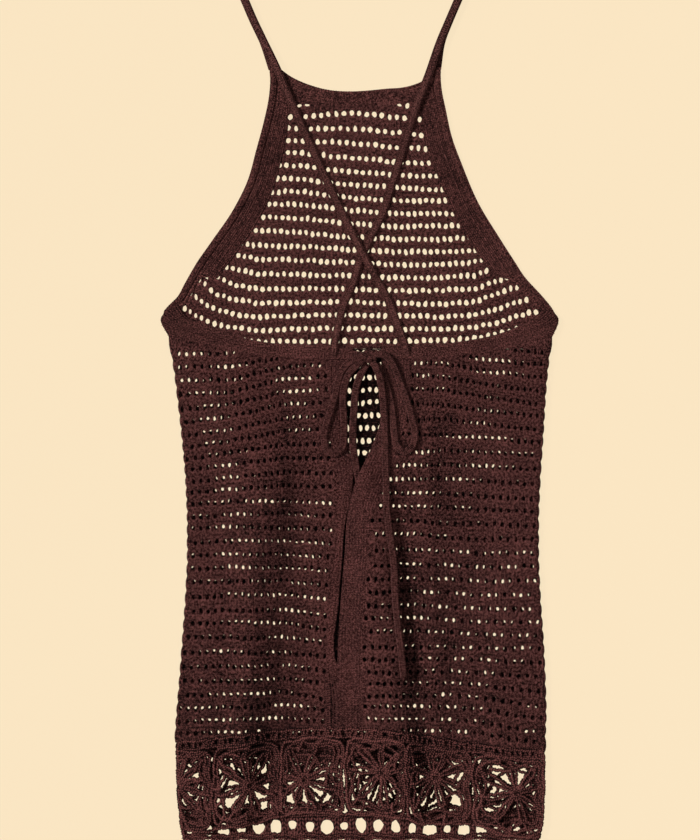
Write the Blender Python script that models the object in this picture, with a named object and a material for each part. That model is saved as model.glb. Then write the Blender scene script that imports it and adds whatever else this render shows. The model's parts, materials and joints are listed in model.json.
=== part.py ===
# Crochet mini dress, laid flat with its back upwards.
# The hem points to -Y, the straps to +Y and the open back faces +Z.
# Tables are in millimetres: x from the centre line, y up from the front hem.
import math

import bpy
import bmesh
from mathutils import Vector
from mathutils.geometry import interpolate_bezier

MM = 0.001
MIDDLE_X = -1.5               # the two sides are not quite alike
MIDDLE_Y = 469.0              # half way from the front hem to the top of the straps
CLOTH = 2.0                   # wall of the knit
SEAM = 0.3                    # play between pieces that meet
BACK_LIFT = CLOTH + SEAM      # underside of the back layer
PLACKET_LIFT = 2.6            # the right placket lies on the left one
PLACKET_HEAD = 450.0          # below this height it does so
PLACKET_EASE = 40.0
PLACKET_REACH = 30.0          # and the knit beside it slopes down over this width
BORDER_DEPTH = 92.0           # depth of the crochet flower border
BORDER_SHOULDER = 105.0       # height of the back border's top corners, about
FRONT_HEM = 3.0
HEM_SCALLOP = 3.0             # the front hem runs in shallow scallops
SCALLOP_PITCH = 35.0
RIB_WIDTH = 7.0               # rolled rib along the armholes
RIB_HEIGHT = 1.6
EAR_REACH = 206.5             # the back's bands stand out in a small ear at each side
EAR_HEIGHT = 549.0
BACK_TOP = 516.0              # the back halves reach no higher than this near the middle
SHOULDER = 538.0              # the front panel's side edge meets the armhole band here
SIDE_INSET = 1.2              # the front panel lies a little inside the back
STRAP_WIDTH = 9.0
STRAP_THICKNESS = 2.2
CORD_WIDTH = 7.2              # the tie is a narrow knit tube, pressed flat
CORD_FLATTENING = 0.56
PETALS = 8

YARN_FRONT = (0.052, 0.020, 0.017, 1.0)
YARN_BACK = (0.060, 0.023, 0.020, 1.0)
YARN_BAND = (0.075, 0.029, 0.025, 1.0)
YARN_CORD = (0.085, 0.032, 0.028, 1.0)

# height above the hem, left edge, right edge
SIDE_EDGES = (
    (3, -186, 186), (25, -189, 190), (58, -192, 192), (89, -193, 192),
    (112, -193, 191), (140, -191, 192), (175, -188, 191), (215, -185, 189),
    (256, -182, 186), (295, -180, 184), (345, -180, 184), (387, -182, 186),
    (430, -186, 189), (465, -190, 191), (490, -193, 193), (515, -197, 196),
    (530, -200, 199), (543, -206, 203), (551, -207, 204), (560, -201, 200),
    (566, -193, 194),
)
# armhole edge from underarm to top corner: x, y, width of the knit band there
ARMHOLE_LEFT = (
    (-206, 548, 9), (-205, 556, 9), (-199, 563, 9), (-191, 571, 10.5), (-183.3, 585, 11),
    (-176, 598, 12), (-171, 606.5, 26), (-156, 628, 28), (-134, 660, 28), (-118, 692, 28),
    (-109, 724, 28), (-101, 754, 26), (-96, 778, 19), (-94, 797, 11), (-93, 811, 8),
)
ARMHOLE_RIGHT = (
    (203, 546, 9), (202, 553, 9), (198, 560, 9), (190, 570, 10.5), (168, 595, 11.5),
    (161, 606, 26), (145, 631, 28), (121, 671, 28), (105, 709, 28), (95, 736, 28),
    (88, 767, 26), (84, 787, 18), (83, 798, 12), (83, 810, 8),
)
# front neckline from left corner to right corner: x, y
NECKLINE = (
    (-83, 808), (-72, 800), (-54, 792), (-36, 787), (-11, 785), (8, 786),
    (28, 788), (42, 789), (55, 792), (66, 797), (75, 808),
)
# lower edge of the neck band between the side bands: x, y
NECK_BAND_LOWER = ((-60, 772), (-36, 770), (-11, 769), (8, 769), (28, 770), (50, 773))
BAND_SAMPLES = 25             # cross sections of each armhole band
NECK_SAMPLE = 21              # the section at which the neck band begins
RIB_STARTS = (566.0, 592.0)   # heights between which the rib rises from under the back
# upper and lower edge of the back's top bands, from the side to the centre: x, y
TOP_BAND_LEFT_UPPER = (
    (-190, 562), (-181, 550), (-171, 545), (-156, 540), (-140, 535), (-124, 529),
    (-107, 525), (-74, 521), (-40, 520), (-9, 517),
)
TOP_BAND_LEFT_LOWER = (
    (-199, 528), (-180, 526), (-160, 521), (-140, 516), (-110, 511), (-74, 508),
    (-36, 507), (-10, 506),
)
TOP_BAND_RIGHT_UPPER = (
    (190, 562), (183, 552), (162, 540), (141, 532), (113, 526), (86, 522),
    (51, 520), (21, 517),
)
TOP_BAND_RIGHT_LOWER = (
    (198, 527), (180, 524), (160, 519), (140, 515), (110, 511), (80, 508),
    (51, 507), (21, 506),
)
# plackets from the top bands to the border: y, inner edge x, outer edge x
PLACKET_LEFT = (
    (505.6, -9, -35), (490, -14, -35), (474, -17.5, -34), (455, -17.5, -34), (436, -16.5, -34),
    (416, -13, -31), (400, -10, -26), (390, -8.5, -24), (360, -8, -23), (335, -7, -23),
    (297, -5, -27), (256, -4, -32), (193, -3, -36), (150, -2, -38), (124, -2, -38),
)
PLACKET_RIGHT = (
    (505.6, 21, 51), (464, 21, 50), (437, 19, 45), (420, 13, 40), (404, 6, 35),
    (390, -1, 30), (368, -9, 18), (343, -14, 10), (304, -17, 8), (256, -21, 4),
    (204, -24, 1.5), (150, -25, 2), (124, -25, 3),
)
# top and bottom edge of the back border: x, y
BORDER_TOP = (
    (-196, 109), (-155, 113), (-105, 120), (-63, 123), (-17, 124), (20, 123),
    (46, 120), (72, 115), (98, 110), (124, 107), (160, 102), (195, 100),
)
BORDER_BOTTOM = (
    (-196, 16), (-158, 13), (-146, 18), (-118, 21), (-105, 23), (-86, 29),
    (-53, 34), (-29, 32), (0, 31), (30, 30), (50, 28), (60, 23), (115, 21),
    (131, 18), (145, 11), (165, 8), (195, 6),
)
# joints between the flower squares: x
BACK_JOINTS = (-155, -84, -17, 46, 115, 190)
FRONT_JOINTS = (-157, -87, -18, 52, 122, 188)
# folds of the back layer, crest from top to bottom:
# x and y at the top, x and y at the bottom, spread left, spread right, height
FOLDS = (
    (-78, 445, -124, 10, 52, 24, 7.5),
    (8, 395, 60, 10, 50, 26, 9.5),
    (66, 470, 76, 250, 26, 16, 3.0),
    (150, 330, 150, 30, 40, 40, 2.6),
    (-150, 300, -166, 20, 26, 18, 2.4),
)
FOLD_FADE = 90.0              # length over which a fold rises from its top end
FLAT_BY_SLIT = 33.0           # the left half has no fold this near the middle
# where the tie lies under the placket: x, y, radius, height, share of length to width
TAIL_BUMP = (-1, 385, 26, 5.8, 0.62)
# straps, from the front's top corner up, over and down the back: x, y
STRAP_LEFT_RISE = ((-91.5, 813), (-102, 838), (-112, 859), (-121, 880), (-144, 930.8))
STRAP_LEFT_FALL = (
    (-144, 930.8), (-121, 880), (-112, 859), (-102, 838), (-88, 809), (-74, 776), (-55, 734),
    (-37, 695), (-17, 653), (2, 615), (15, 592), (28, 568), (38, 542), (46, 519),
    (48, 508),
)
STRAP_RIGHT_RISE = ((79.5, 813), (84, 838), (92, 859), (101, 880), (123, 930.8))
STRAP_RIGHT_FALL = (
    (123, 930.8), (101, 880), (92, 859), (83, 838), (70, 801), (57, 768), (44, 726), (31, 684),
    (22, 657), (9, 631), (-2, 607), (-9, 583), (-18, 563), (-24, 539), (-28, 519),
    (-29, 508),
)
CROSSING = (7, 618, 34)       # x, y, reach of the rise of the strap that lies on top
STRAP_PLAY = SEAM + 0.2
CORNER_FOOT = 735.0           # height above the hem at which a strap climbs its corner
CORNER_CLIMB = 40.0
CORNER_HEAD = 812.0           # and at which it lies on its own first half alone
CORNER_EASE = 30.0
BACK_FOOT = 548.0             # and at which it climbs onto the back's top band
BACK_CLIMB = 22.0
CROSSING_EASE = 1.35
# the knot: centre x, y, z and half sizes
KNOT = (8.5, 509, 7.4, 6.6, 7.2, 4.6)
# short ties from the band ends into the knot: x, y, z of the underside
TIE_LEFT = ((-9.0, 511, 2.4), (-5, 510.8, 2.7), (-2, 510.4, 3.2), (2.6, 510, 3.8))
TIE_RIGHT = ((20.5, 511.4, 2.4), (18.6, 511.2, 2.8), (16.8, 511, 3.2), (14.3, 510.8, 3.8))
# bow loops and tails: x, y, height of the underside above the cloth
LOOP_LEFT = (
    (2.4, 509, 3.4), (-8, 506.5, 3.8), (-17, 501, 2.2), (-24, 491, 0.9), (-28, 478, 0.6),
    (-31, 464, 0.6), (-34, 451, 0.6), (-37.5, 437, 0.6), (-39.5, 423, 0.6),
    (-36, 412, 0.6), (-28, 407, 0.6), (-20, 413, 0.6), (-17.5, 427, 0.6),
    (-18, 445, 0.6), (-19.5, 462, 0.6), (-18, 478, 0.7), (-12, 491.5, 1.8),
    (1.2, 504.6, 3.4),
)
LOOP_RIGHT = (
    (14.6, 511.5, 3.6), (25, 511, 3.8), (33, 503, 2.4), (40, 491, 0.9), (44.5, 475, 0.6),
    (49, 459, 0.6), (53, 444, 0.6), (56, 427, 0.6), (52.5, 415, 0.6), (45, 410, 0.6),
    (37.5, 416, 0.6), (34.5, 430, 0.6), (33, 447, 0.6), (30.5, 462, 0.6),
    (26.5, 478, 0.6), (21.5, 491, 0.3), (16.0, 501.6, 0.0),
)
TAIL_RIGHT = (
    (12.0, 503.2, 4.2), (17.5, 493, 5.0), (21, 478, 5.2), (23, 462, 5.0),
    (24, 446, 2.6), (24.6, 430, 0.8), (25, 410, 0.7), (26, 381, 1.0), (27, 349, 1.4),
    (30, 323, 1.4), (33.5, 300, 1.5), (35.5, 259, 1.9), (37.5, 235, 2.2),
    (40, 215, 2.2), (44, 178, 2.0),
)
TAIL_LEFT = (
    (6.4, 501.6, -0.8), (1.6, 492, 0.0), (-3.4, 480, 0.5), (-6.2, 464, 0.6),
    (-7.2, 444, 0.6), (-7, 422, 0.5), (-4.8, 404, 0.4), (-2, 388, 0.4), (0.4, 372, 0.4),
)


def smooth_curve(points, count):
    """Evenly spaced points on a smooth curve through the given ones."""
    knots = [Vector(p) for p in points]
    dense = [knots[0]]
    for i in range(len(knots) - 1):
        before = knots[max(i - 1, 0)]
        after = knots[min(i + 2, len(knots) - 1)]
        start, end = knots[i], knots[i + 1]
        reach = (end - start).length / 3.0
        lead_in = (end - before).normalized() * reach
        lead_out = (after - start).normalized() * reach
        if len(start) == 2:
            start, end = start.to_3d(), end.to_3d()
            lead_in, lead_out = lead_in.to_3d(), lead_out.to_3d()
        run = interpolate_bezier(start, start + lead_in, end - lead_out, end, 12)
        dense += [p.to_2d() if len(knots[0]) == 2 else p for p in run[1:]]
    lengths = [0.0]
    for a, b in zip(dense, dense[1:]):
        lengths.append(lengths[-1] + (b - a).length)
    even = []
    j = 0
    for i in range(count):
        wanted = lengths[-1] * i / (count - 1)
        while j < len(lengths) - 2 and lengths[j + 1] < wanted:
            j += 1
        share = (wanted - lengths[j]) / (lengths[j + 1] - lengths[j])
        even.append(dense[j].lerp(dense[j + 1], min(max(share, 0.0), 1.0)))
    return even


def look_up(table, key, column, key_column=0):
    """Value of a column where the table's key column passes the key."""
    rows = sorted(table, key=lambda row: row[key_column])
    if key <= rows[0][key_column]:
        return rows[0][column]
    for low, high in zip(rows, rows[1:]):
        if key <= high[key_column]:
            share = (key - low[key_column]) / (high[key_column] - low[key_column])
            return low[column] + (high[column] - low[column]) * share
    return rows[-1][column]


def smooth_step(value):
    value = min(max(value, 0.0), 1.0)
    return value * value * (3.0 - 2.0 * value)


def fold_height(x, y):
    """Height of the back layer's folds over the flat front."""
    height = 0.0
    for top_x, top_y, low_x, low_y, left, right, crest in FOLDS:
        along = (top_y - y) / (top_y - low_y)
        crest_x = top_x + (low_x - top_x) * along
        spread = left if x < crest_x else right
        aside = abs(x - crest_x) / spread
        if aside < 1.0 and along > 0.0:
            rise = smooth_step((top_y - y) / FOLD_FADE)
            height += crest * rise * (0.5 + 0.5 * math.cos(math.pi * aside))
    return height


def left_back(x, y):
    """Underside of the left half of the back layer, flat beside the slit."""
    return BACK_LIFT + fold_height(x, y) * smooth_step((-FLAT_BY_SLIT - x) / 20.0)


def placket_rise(x, y):
    """The right half climbs onto the left placket near the slit."""
    outer = look_up(PLACKET_RIGHT, y, 2)
    below_keyhole = smooth_step((PLACKET_HEAD - y) / PLACKET_EASE)
    slope = smooth_step((outer + PLACKET_REACH - x) / (PLACKET_REACH - 4.0))
    return PLACKET_LIFT * below_keyhole * slope


def right_back(x, y):
    """Underside of the right half of the back layer."""
    bump_x, bump_y, radius, height, slender = TAIL_BUMP
    aside = min(math.hypot(x - bump_x, (y - bump_y) * slender) / radius, 1.0)
    bump = height * (0.5 + 0.5 * math.cos(math.pi * aside))
    return BACK_LIFT + fold_height(x, y) + placket_rise(x, y) + bump


def border_back(x, y):
    """Underside of the back border, which joins both halves."""
    blend = smooth_step((x + FLAT_BY_SLIT - 1.0) / 12.0)
    return left_back(x, y) + (right_back(x, y) - left_back(x, y)) * blend


def back_surface(x, y):
    """Upper surface of whatever part of the back lies at a point."""
    if y > BACK_TOP:
        return BACK_LIFT + CLOTH
    slit = look_up(PLACKET_RIGHT, y, 1)
    if x < slit:
        return left_back(x, y) + CLOTH
    return right_back(x, y) + CLOTH


def in_frame(x, y, z):
    """Garment millimetres to the part's metres, origin under its middle."""
    return Vector(((x - MIDDLE_X) * MM, (y - MIDDLE_Y) * MM, z * MM))


def yarn(name, colour):
    """Matt cotton knit."""
    material = bpy.data.materials.new(name)
    material.use_nodes = True
    shader = material.node_tree.nodes["Principled BSDF"]
    shader.inputs["Base Color"].default_value = colour
    shader.inputs["Roughness"].default_value = 0.9
    shader.inputs["Metallic"].default_value = 0.0
    return material


def place_mesh(name, mesh, colour):
    """Puts a finished mesh in the scene as one named piece."""
    mesh.materials.append(yarn("yarn_" + name, colour))
    piece = bpy.data.objects.new(name, mesh)
    bpy.context.scene.collection.objects.link(piece)
    return piece


def inset_points(points, faces, gap):
    """Draws the outer edge of a flat face set in by a gap."""
    sides = {}
    for face in faces:
        for a, b in zip(face, face[1:] + face[:1]):
            sides[(a, b)] = True
    moves = {}
    for a, b in sides:
        if (b, a) in sides:
            continue
        along = (points[b] - points[a]).normalized()
        inward = Vector((-along.y, along.x))
        for end in (a, b):
            moves.setdefault(end, []).append(inward)
    moved = list(points)
    for index, directions in moves.items():
        total = sum(directions, Vector((0.0, 0.0)))
        if total.length > 0.01:
            total = total.normalized()
            share = max(total.dot(directions[0]), 0.5)
            moved[index] = points[index] + total * (gap / share)
    return moved


def cloth(name, points, faces, underside, thickness, colour):
    """One closed wall from flat outline points, laid on a height rule."""
    points = inset_points(points, faces, SEAM * 0.6)
    mesh = bpy.data.meshes.new(name)
    build = bmesh.new()
    low = []
    high = []
    for p in points:
        z = underside(p.x, p.y)
        wall = thickness(p.x, p.y) if callable(thickness) else thickness
        low.append(build.verts.new(in_frame(p.x, p.y, z)))
        high.append(build.verts.new(in_frame(p.x, p.y, z + wall)))
    edges = {}
    for face in faces:
        build.faces.new([high[i] for i in face])
        build.faces.new([low[i] for i in reversed(face)])
        for a, b in zip(face, face[1:] + face[:1]):
            edges[(a, b)] = True
    for a, b in edges:
        if (b, a) not in edges:
            build.faces.new((low[a], low[b], high[b], high[a]))
    loose = [v for v in build.verts if not v.link_faces]
    bmesh.ops.delete(build, geom=loose, context="VERTS")
    bmesh.ops.triangulate(build, faces=build.faces[:])
    build.to_mesh(mesh)
    build.free()
    return place_mesh(name, mesh, colour)


def patch(bottom, top, left, right):
    """Grid of points stretched between four edges, with its faces."""
    columns = len(bottom)
    rows = len(left)
    points = []
    for j in range(rows):
        t = j / (rows - 1)
        for i in range(columns):
            s = i / (columns - 1)
            across = left[j].lerp(right[j], s)
            upward = bottom[i].lerp(top[i], t)
            low = bottom[0].lerp(bottom[-1], s)
            high = top[0].lerp(top[-1], s)
            points.append(across + upward - low.lerp(high, t))
    faces = []
    for j in range(rows - 1):
        for i in range(columns - 1):
            a = j * columns + i
            faces.append((a, a + 1, a + 1 + columns, a + columns))
    return points, faces


def edge_run(table, column, low, high, count):
    """Points along an edge given by a height and an x column."""
    rows = [r for r in sorted(table) if low < r[0] < high]
    ends = ((look_up(table, low, column), low), (look_up(table, high, column), high))
    run = [ends[0]] + [(r[column], r[0]) for r in rows] + [ends[1]]
    return smooth_curve(run, count)


def border_edge(table, x):
    return Vector((x, look_up(table, x, 1)))


# ---------------------------------------------------------------- front layer

def flat_front(x, y):
    return 0.0


def make_front_side_band(name, armhole, side):
    """Knit band along a slanted armhole, its outer edge rolled into a rib."""
    count = BAND_SAMPLES
    outer = smooth_curve([(x, y) for x, y, width in armhole], count)
    widths = [look_up(armhole, p.y, 2, 1) for p in outer]
    columns = (0.0, RIB_WIDTH / 28, RIB_WIDTH / 28 + 0.09, 1.0)
    heights = (CLOTH + RIB_HEIGHT * 0.4, CLOTH + RIB_HEIGHT, CLOTH * 0.7, CLOTH)
    points = []
    rise = {}
    for j in range(count):
        before = outer[max(j - 1, 0)]
        after = outer[min(j + 1, count - 1)]
        along = (after - before).normalized()
        inward = Vector((along.y, -along.x)) * side
        start, full = RIB_STARTS
        rolled = smooth_step((outer[j].y - start) / (full - start))
        for share, height in zip(columns, heights):
            p = outer[j] + inward * (widths[j] * share)
            points.append(p)
            rise[(p.x, p.y)] = CLOTH + (height - CLOTH) * rolled
    faces = []
    for j in range(count - 1):
        for i in range(3):
            a = j * 4 + i
            face = (a, a + 1, a + 5, a + 4)
            faces.append(face if side > 0 else tuple(reversed(face)))
    keys = list(rise)

    def band_height(x, y):
        near = min(keys, key=lambda k: (k[0] - x) ** 2 + (k[1] - y) ** 2)
        return rise[near]

    cloth(name, points, faces, flat_front, band_height, YARN_BAND)
    inner = [points[j * 4 + 3] for j in range(count)]
    return inner


def make_front_panel(left_inner, right_inner):
    """Openwork front from the border to the neck band, flat on the table."""
    columns = 9
    low = FRONT_HEM + BORDER_DEPTH
    sides = []
    for column, inner, inward in ((1, left_inner, 1.0), (2, right_inner, -1.0)):
        edge = edge_run(SIDE_EDGES, column, low, SHOULDER, 10)
        edge = [p + Vector((inward * SIDE_INSET, 0.0)) for p in edge]
        first = inner[0] + Vector((0.0, -0.8))
        edge.append(first)
        edge += [p + Vector((inward * 0.4, 0.0)) for p in inner[1:NECK_SAMPLE + 1]]
        sides.append(edge)
    left, right = sides
    bottom = [left[0].lerp(right[0], i / (columns - 1)) for i in range(columns)]
    neck_run = [tuple(left[-1])] + list(NECK_BAND_LOWER) + [tuple(right[-1])]
    neck = [p - Vector((0.0, 0.5)) for p in smooth_curve(neck_run, columns)]
    left[-1], right[-1] = neck[0], neck[-1]
    points, faces = patch(bottom, neck, left, right)
    cloth("front_panel", points, faces, flat_front, CLOTH, YARN_FRONT)


def make_front_neck_band(left_inner, right_inner):
    """Dense band along the front neckline, between the side bands."""
    columns = 17
    left = [p + Vector((0.4, 0.0)) for p in left_inner[NECK_SAMPLE:]]
    right = [p - Vector((0.4, 0.0)) for p in right_inner[NECK_SAMPLE:]]
    upper = smooth_curve([tuple(left[-1])] + list(NECKLINE[1:-1]) + [tuple(right[-1])], columns)
    lower = smooth_curve([tuple(left[0])] + list(NECK_BAND_LOWER) + [tuple(right[0])], columns)
    points, faces = patch(lower, upper, left, right)
    cloth("front_neck_band", points, faces, flat_front, CLOTH, YARN_BAND)


# ----------------------------------------------------------------- back layer

def make_top_band(name, upper, lower, underside):
    """Dense band along the top edge of one back half, side to centre."""
    high = smooth_curve(upper, 20)
    low = smooth_curve(lower, 20)
    if low[0].x > low[-1].x:
        high.reverse()
        low.reverse()
    rows = 3
    left = [low[0].lerp(high[0], j / (rows - 1)) for j in range(rows)]
    right = [low[-1].lerp(high[-1], j / (rows - 1)) for j in range(rows)]
    side, outward = (left, -1.0) if low[0].x < -100 else (right, 1.0)
    side[1] = Vector((outward * EAR_REACH + MIDDLE_X, EAR_HEIGHT))
    points, faces = patch(low, high, left, right)
    cloth(name, points, faces, underside, CLOTH, YARN_BAND)


def make_back_panel(name, side_column, placket, band_lower, underside):
    """Openwork back half from the border to the top band."""
    rows = 25
    columns = 12
    inner = smooth_curve([(row[2], row[0]) for row in reversed(placket)], rows)
    band = smooth_curve(band_lower, 40)
    outer_x = inner[-1].x
    reach = [p for p in band if abs(p.x) > abs(outer_x)]
    top = smooth_curve([tuple(p) for p in reach] + [tuple(inner[-1])], columns)
    top[0] = Vector(band_lower[0]) - Vector((0.0, 0.4))
    low_x = look_up(SIDE_EDGES, BORDER_SHOULDER, side_column)
    low_side = border_edge(BORDER_TOP, low_x)
    outer = edge_run(SIDE_EDGES, side_column, low_side.y, top[0].y, rows)
    outer[-1] = top[0]
    bottom = []
    for i in range(columns):
        x = outer[0].x + (inner[0].x - outer[0].x) * i / (columns - 1)
        bottom.append(border_edge(BORDER_TOP, x))
    inner[0] = bottom[-1]
    if side_column == 1:
        points, faces = patch(bottom, top, outer, inner)
    else:
        points, faces = patch(bottom[::-1], top[::-1], inner, outer)
    cloth(name, points, faces, underside, CLOTH, YARN_BACK)


def make_placket(name, table, underside):
    """Dense strip along one side of the centre-back slit."""
    rows = 25
    first = smooth_curve([(row[2], row[0]) for row in reversed(table)], rows)
    second = smooth_curve([(row[1], row[0]) for row in reversed(table)], rows)
    for edge in (first, second):
        edge[0] = border_edge(BORDER_TOP, edge[0].x)
    left, right = (first, second) if first[0].x < second[0].x else (second, first)
    columns = 4
    bottom = [left[0].lerp(right[0], i / (columns - 1)) for i in range(columns)]
    top = [left[-1].lerp(right[-1], i / (columns - 1)) for i in range(columns)]
    points, faces = patch(bottom, top, left, right)
    cloth(name, points, faces, underside, CLOTH, YARN_BAND)


# --------------------------------------------------------------- lace borders

def flower_square(name, x_low, x_high, bottom, top, underside, half=False):
    """Crochet flower in an arched frame, joined edge to edge to its neighbours.

    Eight looped petals stand round a closed centre. Each petal is open inside,
    a gap parts it from the next, and the corners of the frame are open.
    """
    # share of a petal's turn at which its parts begin: wall, opening, wall, gap
    parts = (0.0, 0.19, 0.47, 0.66)
    steps = len(parts) * PETALS
    rings = (0.24, 0.58, 0.72, 0.86, 1.0)
    span = math.pi if half else 2.0 * math.pi
    start = -math.pi / 2 if half else math.pi / 8
    turn = span / (PETALS / 2 if half else PETALS)
    if half:
        steps //= 2
    centre_share = 0.0 if half else 0.5

    def to_border(s, t):
        x = x_low + (x_high - x_low) * s
        y_low = bottom(x)
        return Vector((x, y_low + (top(x) - y_low) * t))

    def ring_point(step, ring):
        petal, part = divmod(step, len(parts))
        angle = start + turn * (petal + parts[part])
        if half and step == steps:
            angle = math.pi / 2
        c, s = math.cos(angle), math.sin(angle)
        to_side = 1.0 / max(abs(c), abs(s))
        square = smooth_step((ring - 0.6) / 0.4)
        radius = ring * (1.0 + (to_side - 1.0) * square)
        wide = 1.0 if half else 0.5
        return to_border(centre_share + wide * radius * c, 0.5 + 0.5 * radius * s)

    columns = steps + 1 if half else steps
    points = [to_border(centre_share, 0.5)]
    for ring in rings:
        points += [ring_point(step, ring) for step in range(columns)]

    def at(ring, step):
        return 1 + ring * columns + (step if half else step % steps)

    faces = []
    for step in range(steps):
        part = step % len(parts)
        faces.append((0, at(0, step), at(0, step + 1)))
        solid_rings = []
        if part in (0, 2):
            solid_rings.append(0)
        if part != 3:
            solid_rings.append(1)
        angle = start + turn * (step // len(parts) + (parts[part] + 0.1))
        in_corner = abs(abs(math.sin(2 * angle)) - 1.0) < 0.12
        if not (in_corner and part in (0, 1, 3)):
            solid_rings.append(2)
        solid_rings.append(3)
        for ring in solid_rings:
            a, b = at(ring, step), at(ring, step + 1)
            c, d = at(ring + 1, step + 1), at(ring + 1, step)
            faces.append((a, d, c, b))
    used = sorted({i for face in faces for i in face})
    order = {old: new for new, old in enumerate(used)}
    points = [points[i] for i in used]
    faces = [tuple(order[i] for i in face) for face in faces]
    cloth(name, points, faces, underside, CLOTH, YARN_CORD)


def make_borders():
    """Twelve pieces: five squares and a turned-over half on each layer."""
    def back_bottom(x):
        return look_up(BORDER_BOTTOM, x, 1)

    def back_top(x):
        return look_up(BORDER_TOP, x, 1) - SEAM

    def front_bottom(x):
        return FRONT_HEM + HEM_SCALLOP * abs(math.sin(math.pi * x / SCALLOP_PITCH))

    def front_top(x):
        return FRONT_HEM + BORDER_DEPTH - SEAM

    layers = (
        ("back_lace", BACK_JOINTS, back_bottom, back_top, border_back),
        ("front_lace", FRONT_JOINTS, front_bottom, front_top, flat_front),
    )
    for prefix, joints, bottom, top, underside in layers:
        fold_line = look_up(SIDE_EDGES, BORDER_DEPTH / 2, 1)
        flower_square(prefix + "_edge", fold_line, joints[0], bottom, top, underside, half=True)
        for k, (low, high) in enumerate(zip(joints, joints[1:]), start=1):
            flower_square(f"{prefix}_{k}", low, high, bottom, top, underside)


# ------------------------------------------------------------ straps and ties

def band_solid(name, centres, sides, normals, width, thickness, colour):
    """Flat band with rounded shoulders swept along its own frames."""
    # share of the half width, share of the thickness
    section = ((-1.0, 0.0), (1.0, 0.0), (1.0, 0.62), (0.66, 1.0), (-0.66, 1.0), (-1.0, 0.62))
    mesh = bpy.data.meshes.new(name)
    build = bmesh.new()
    loops = []
    for centre, side, normal in zip(centres, sides, normals):
        loop = []
        for across, up in section:
            p = centre + side * (across * width / 2) + normal * ((up - 0.5) * thickness)
            loop.append(build.verts.new(in_frame(p.x, p.y, p.z)))
        loops.append(loop)
    for first, second in zip(loops, loops[1:]):
        for i in range(len(section)):
            j = (i + 1) % len(section)
            build.faces.new((first[i], first[j], second[j], second[i]))
    build.faces.new(reversed(loops[0]))
    build.faces.new(loops[-1])
    bmesh.ops.recalc_face_normals(build, faces=build.faces[:])
    bmesh.ops.triangulate(build, faces=build.faces[:])
    build.to_mesh(mesh)
    build.free()
    return place_mesh(name, mesh, colour)


def strap_underside(x, y, on_top):
    """Height of the returning strap above the table along its way down."""
    over_band = CLOTH + RIB_HEIGHT + STRAP_PLAY + 0.1
    on_net = CLOTH + STRAP_PLAY
    near_corner = smooth_step((y - CORNER_FOOT) / CORNER_CLIMB)
    z = on_net + (over_band - on_net) * near_corner
    over_rise = STRAP_THICKNESS + STRAP_PLAY
    above_corner = smooth_step((y - CORNER_HEAD) / CORNER_EASE)
    z += (over_rise - z) * above_corner
    on_back = BACK_LIFT + CLOTH + SEAM
    z += (on_back - z) * smooth_step((BACK_FOOT - y) / BACK_CLIMB)
    if on_top:
        cross_x, cross_y, reach = CROSSING
        near = math.hypot(x - cross_x, y - cross_y) / reach
        z += over_rise * smooth_step(CROSSING_EASE * (1.0 - near))
    return z


def make_strap(name, rise, fall, on_top):
    """Knit strap: up from the front corner, folded over, down across the back."""
    up = smooth_curve(rise, 9)
    down = smooth_curve(fall, 42)
    half = STRAP_THICKNESS / 2
    way = [(p.x, p.y, half) for p in up]
    turn = (up[-1] - up[-2]).normalized()
    fold_low = half
    fold_high = strap_underside(down[0].x, down[0].y, on_top) + half
    radius = (fold_high - fold_low) / 2
    for k in range(1, 6):
        angle = -math.pi / 2 + math.pi * k / 6
        tip = up[-1] + turn * (radius * math.cos(angle))
        way.append((tip.x, tip.y, fold_low + radius + radius * math.sin(angle)))
    way += [(p.x, p.y, strap_underside(p.x, p.y, on_top) + half) for p in down]
    centres = [Vector(p) for p in way]
    sides = []
    for i, centre in enumerate(centres):
        before = centres[max(i - 1, 0)]
        after = centres[min(i + 1, len(centres) - 1)]
        plan = Vector((after.x - before.x, after.y - before.y, 0.0))
        if i < len(up) - 1:
            side = Vector((plan.y, -plan.x, 0.0)).normalized()
        elif i <= len(up) + 5:
            side = Vector((turn.y, -turn.x, 0.0))
        else:
            side = Vector((-plan.y, plan.x, 0.0)).normalized()
        sides.append(side)
    normals = []
    for i, centre in enumerate(centres):
        before = centres[max(i - 1, 0)]
        after = centres[min(i + 1, len(centres) - 1)]
        normals.append(sides[i].cross(after - before).normalized())
    band_solid(name, centres, sides, normals, STRAP_WIDTH, STRAP_THICKNESS, YARN_BAND)


def make_tie(name, route):
    """Short flat run of the tie from a band end into the knot."""
    half = STRAP_THICKNESS / 2
    centres = [p + Vector((0.0, 0.0, half)) for p in smooth_curve(route, 5)]
    along = (centres[-1] - centres[0]).normalized()
    side = Vector((-along.y, along.x, 0.0)).normalized()
    normals = [Vector((0.0, 0.0, 1.0))] * len(centres)
    band_solid(name, centres, [side] * len(centres), normals, STRAP_WIDTH * 0.8,
               STRAP_THICKNESS, YARN_CORD)


def left_surface(x, y):
    """Upper surface of the left half, also under the right placket."""
    return left_back(x, y) + CLOTH


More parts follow.
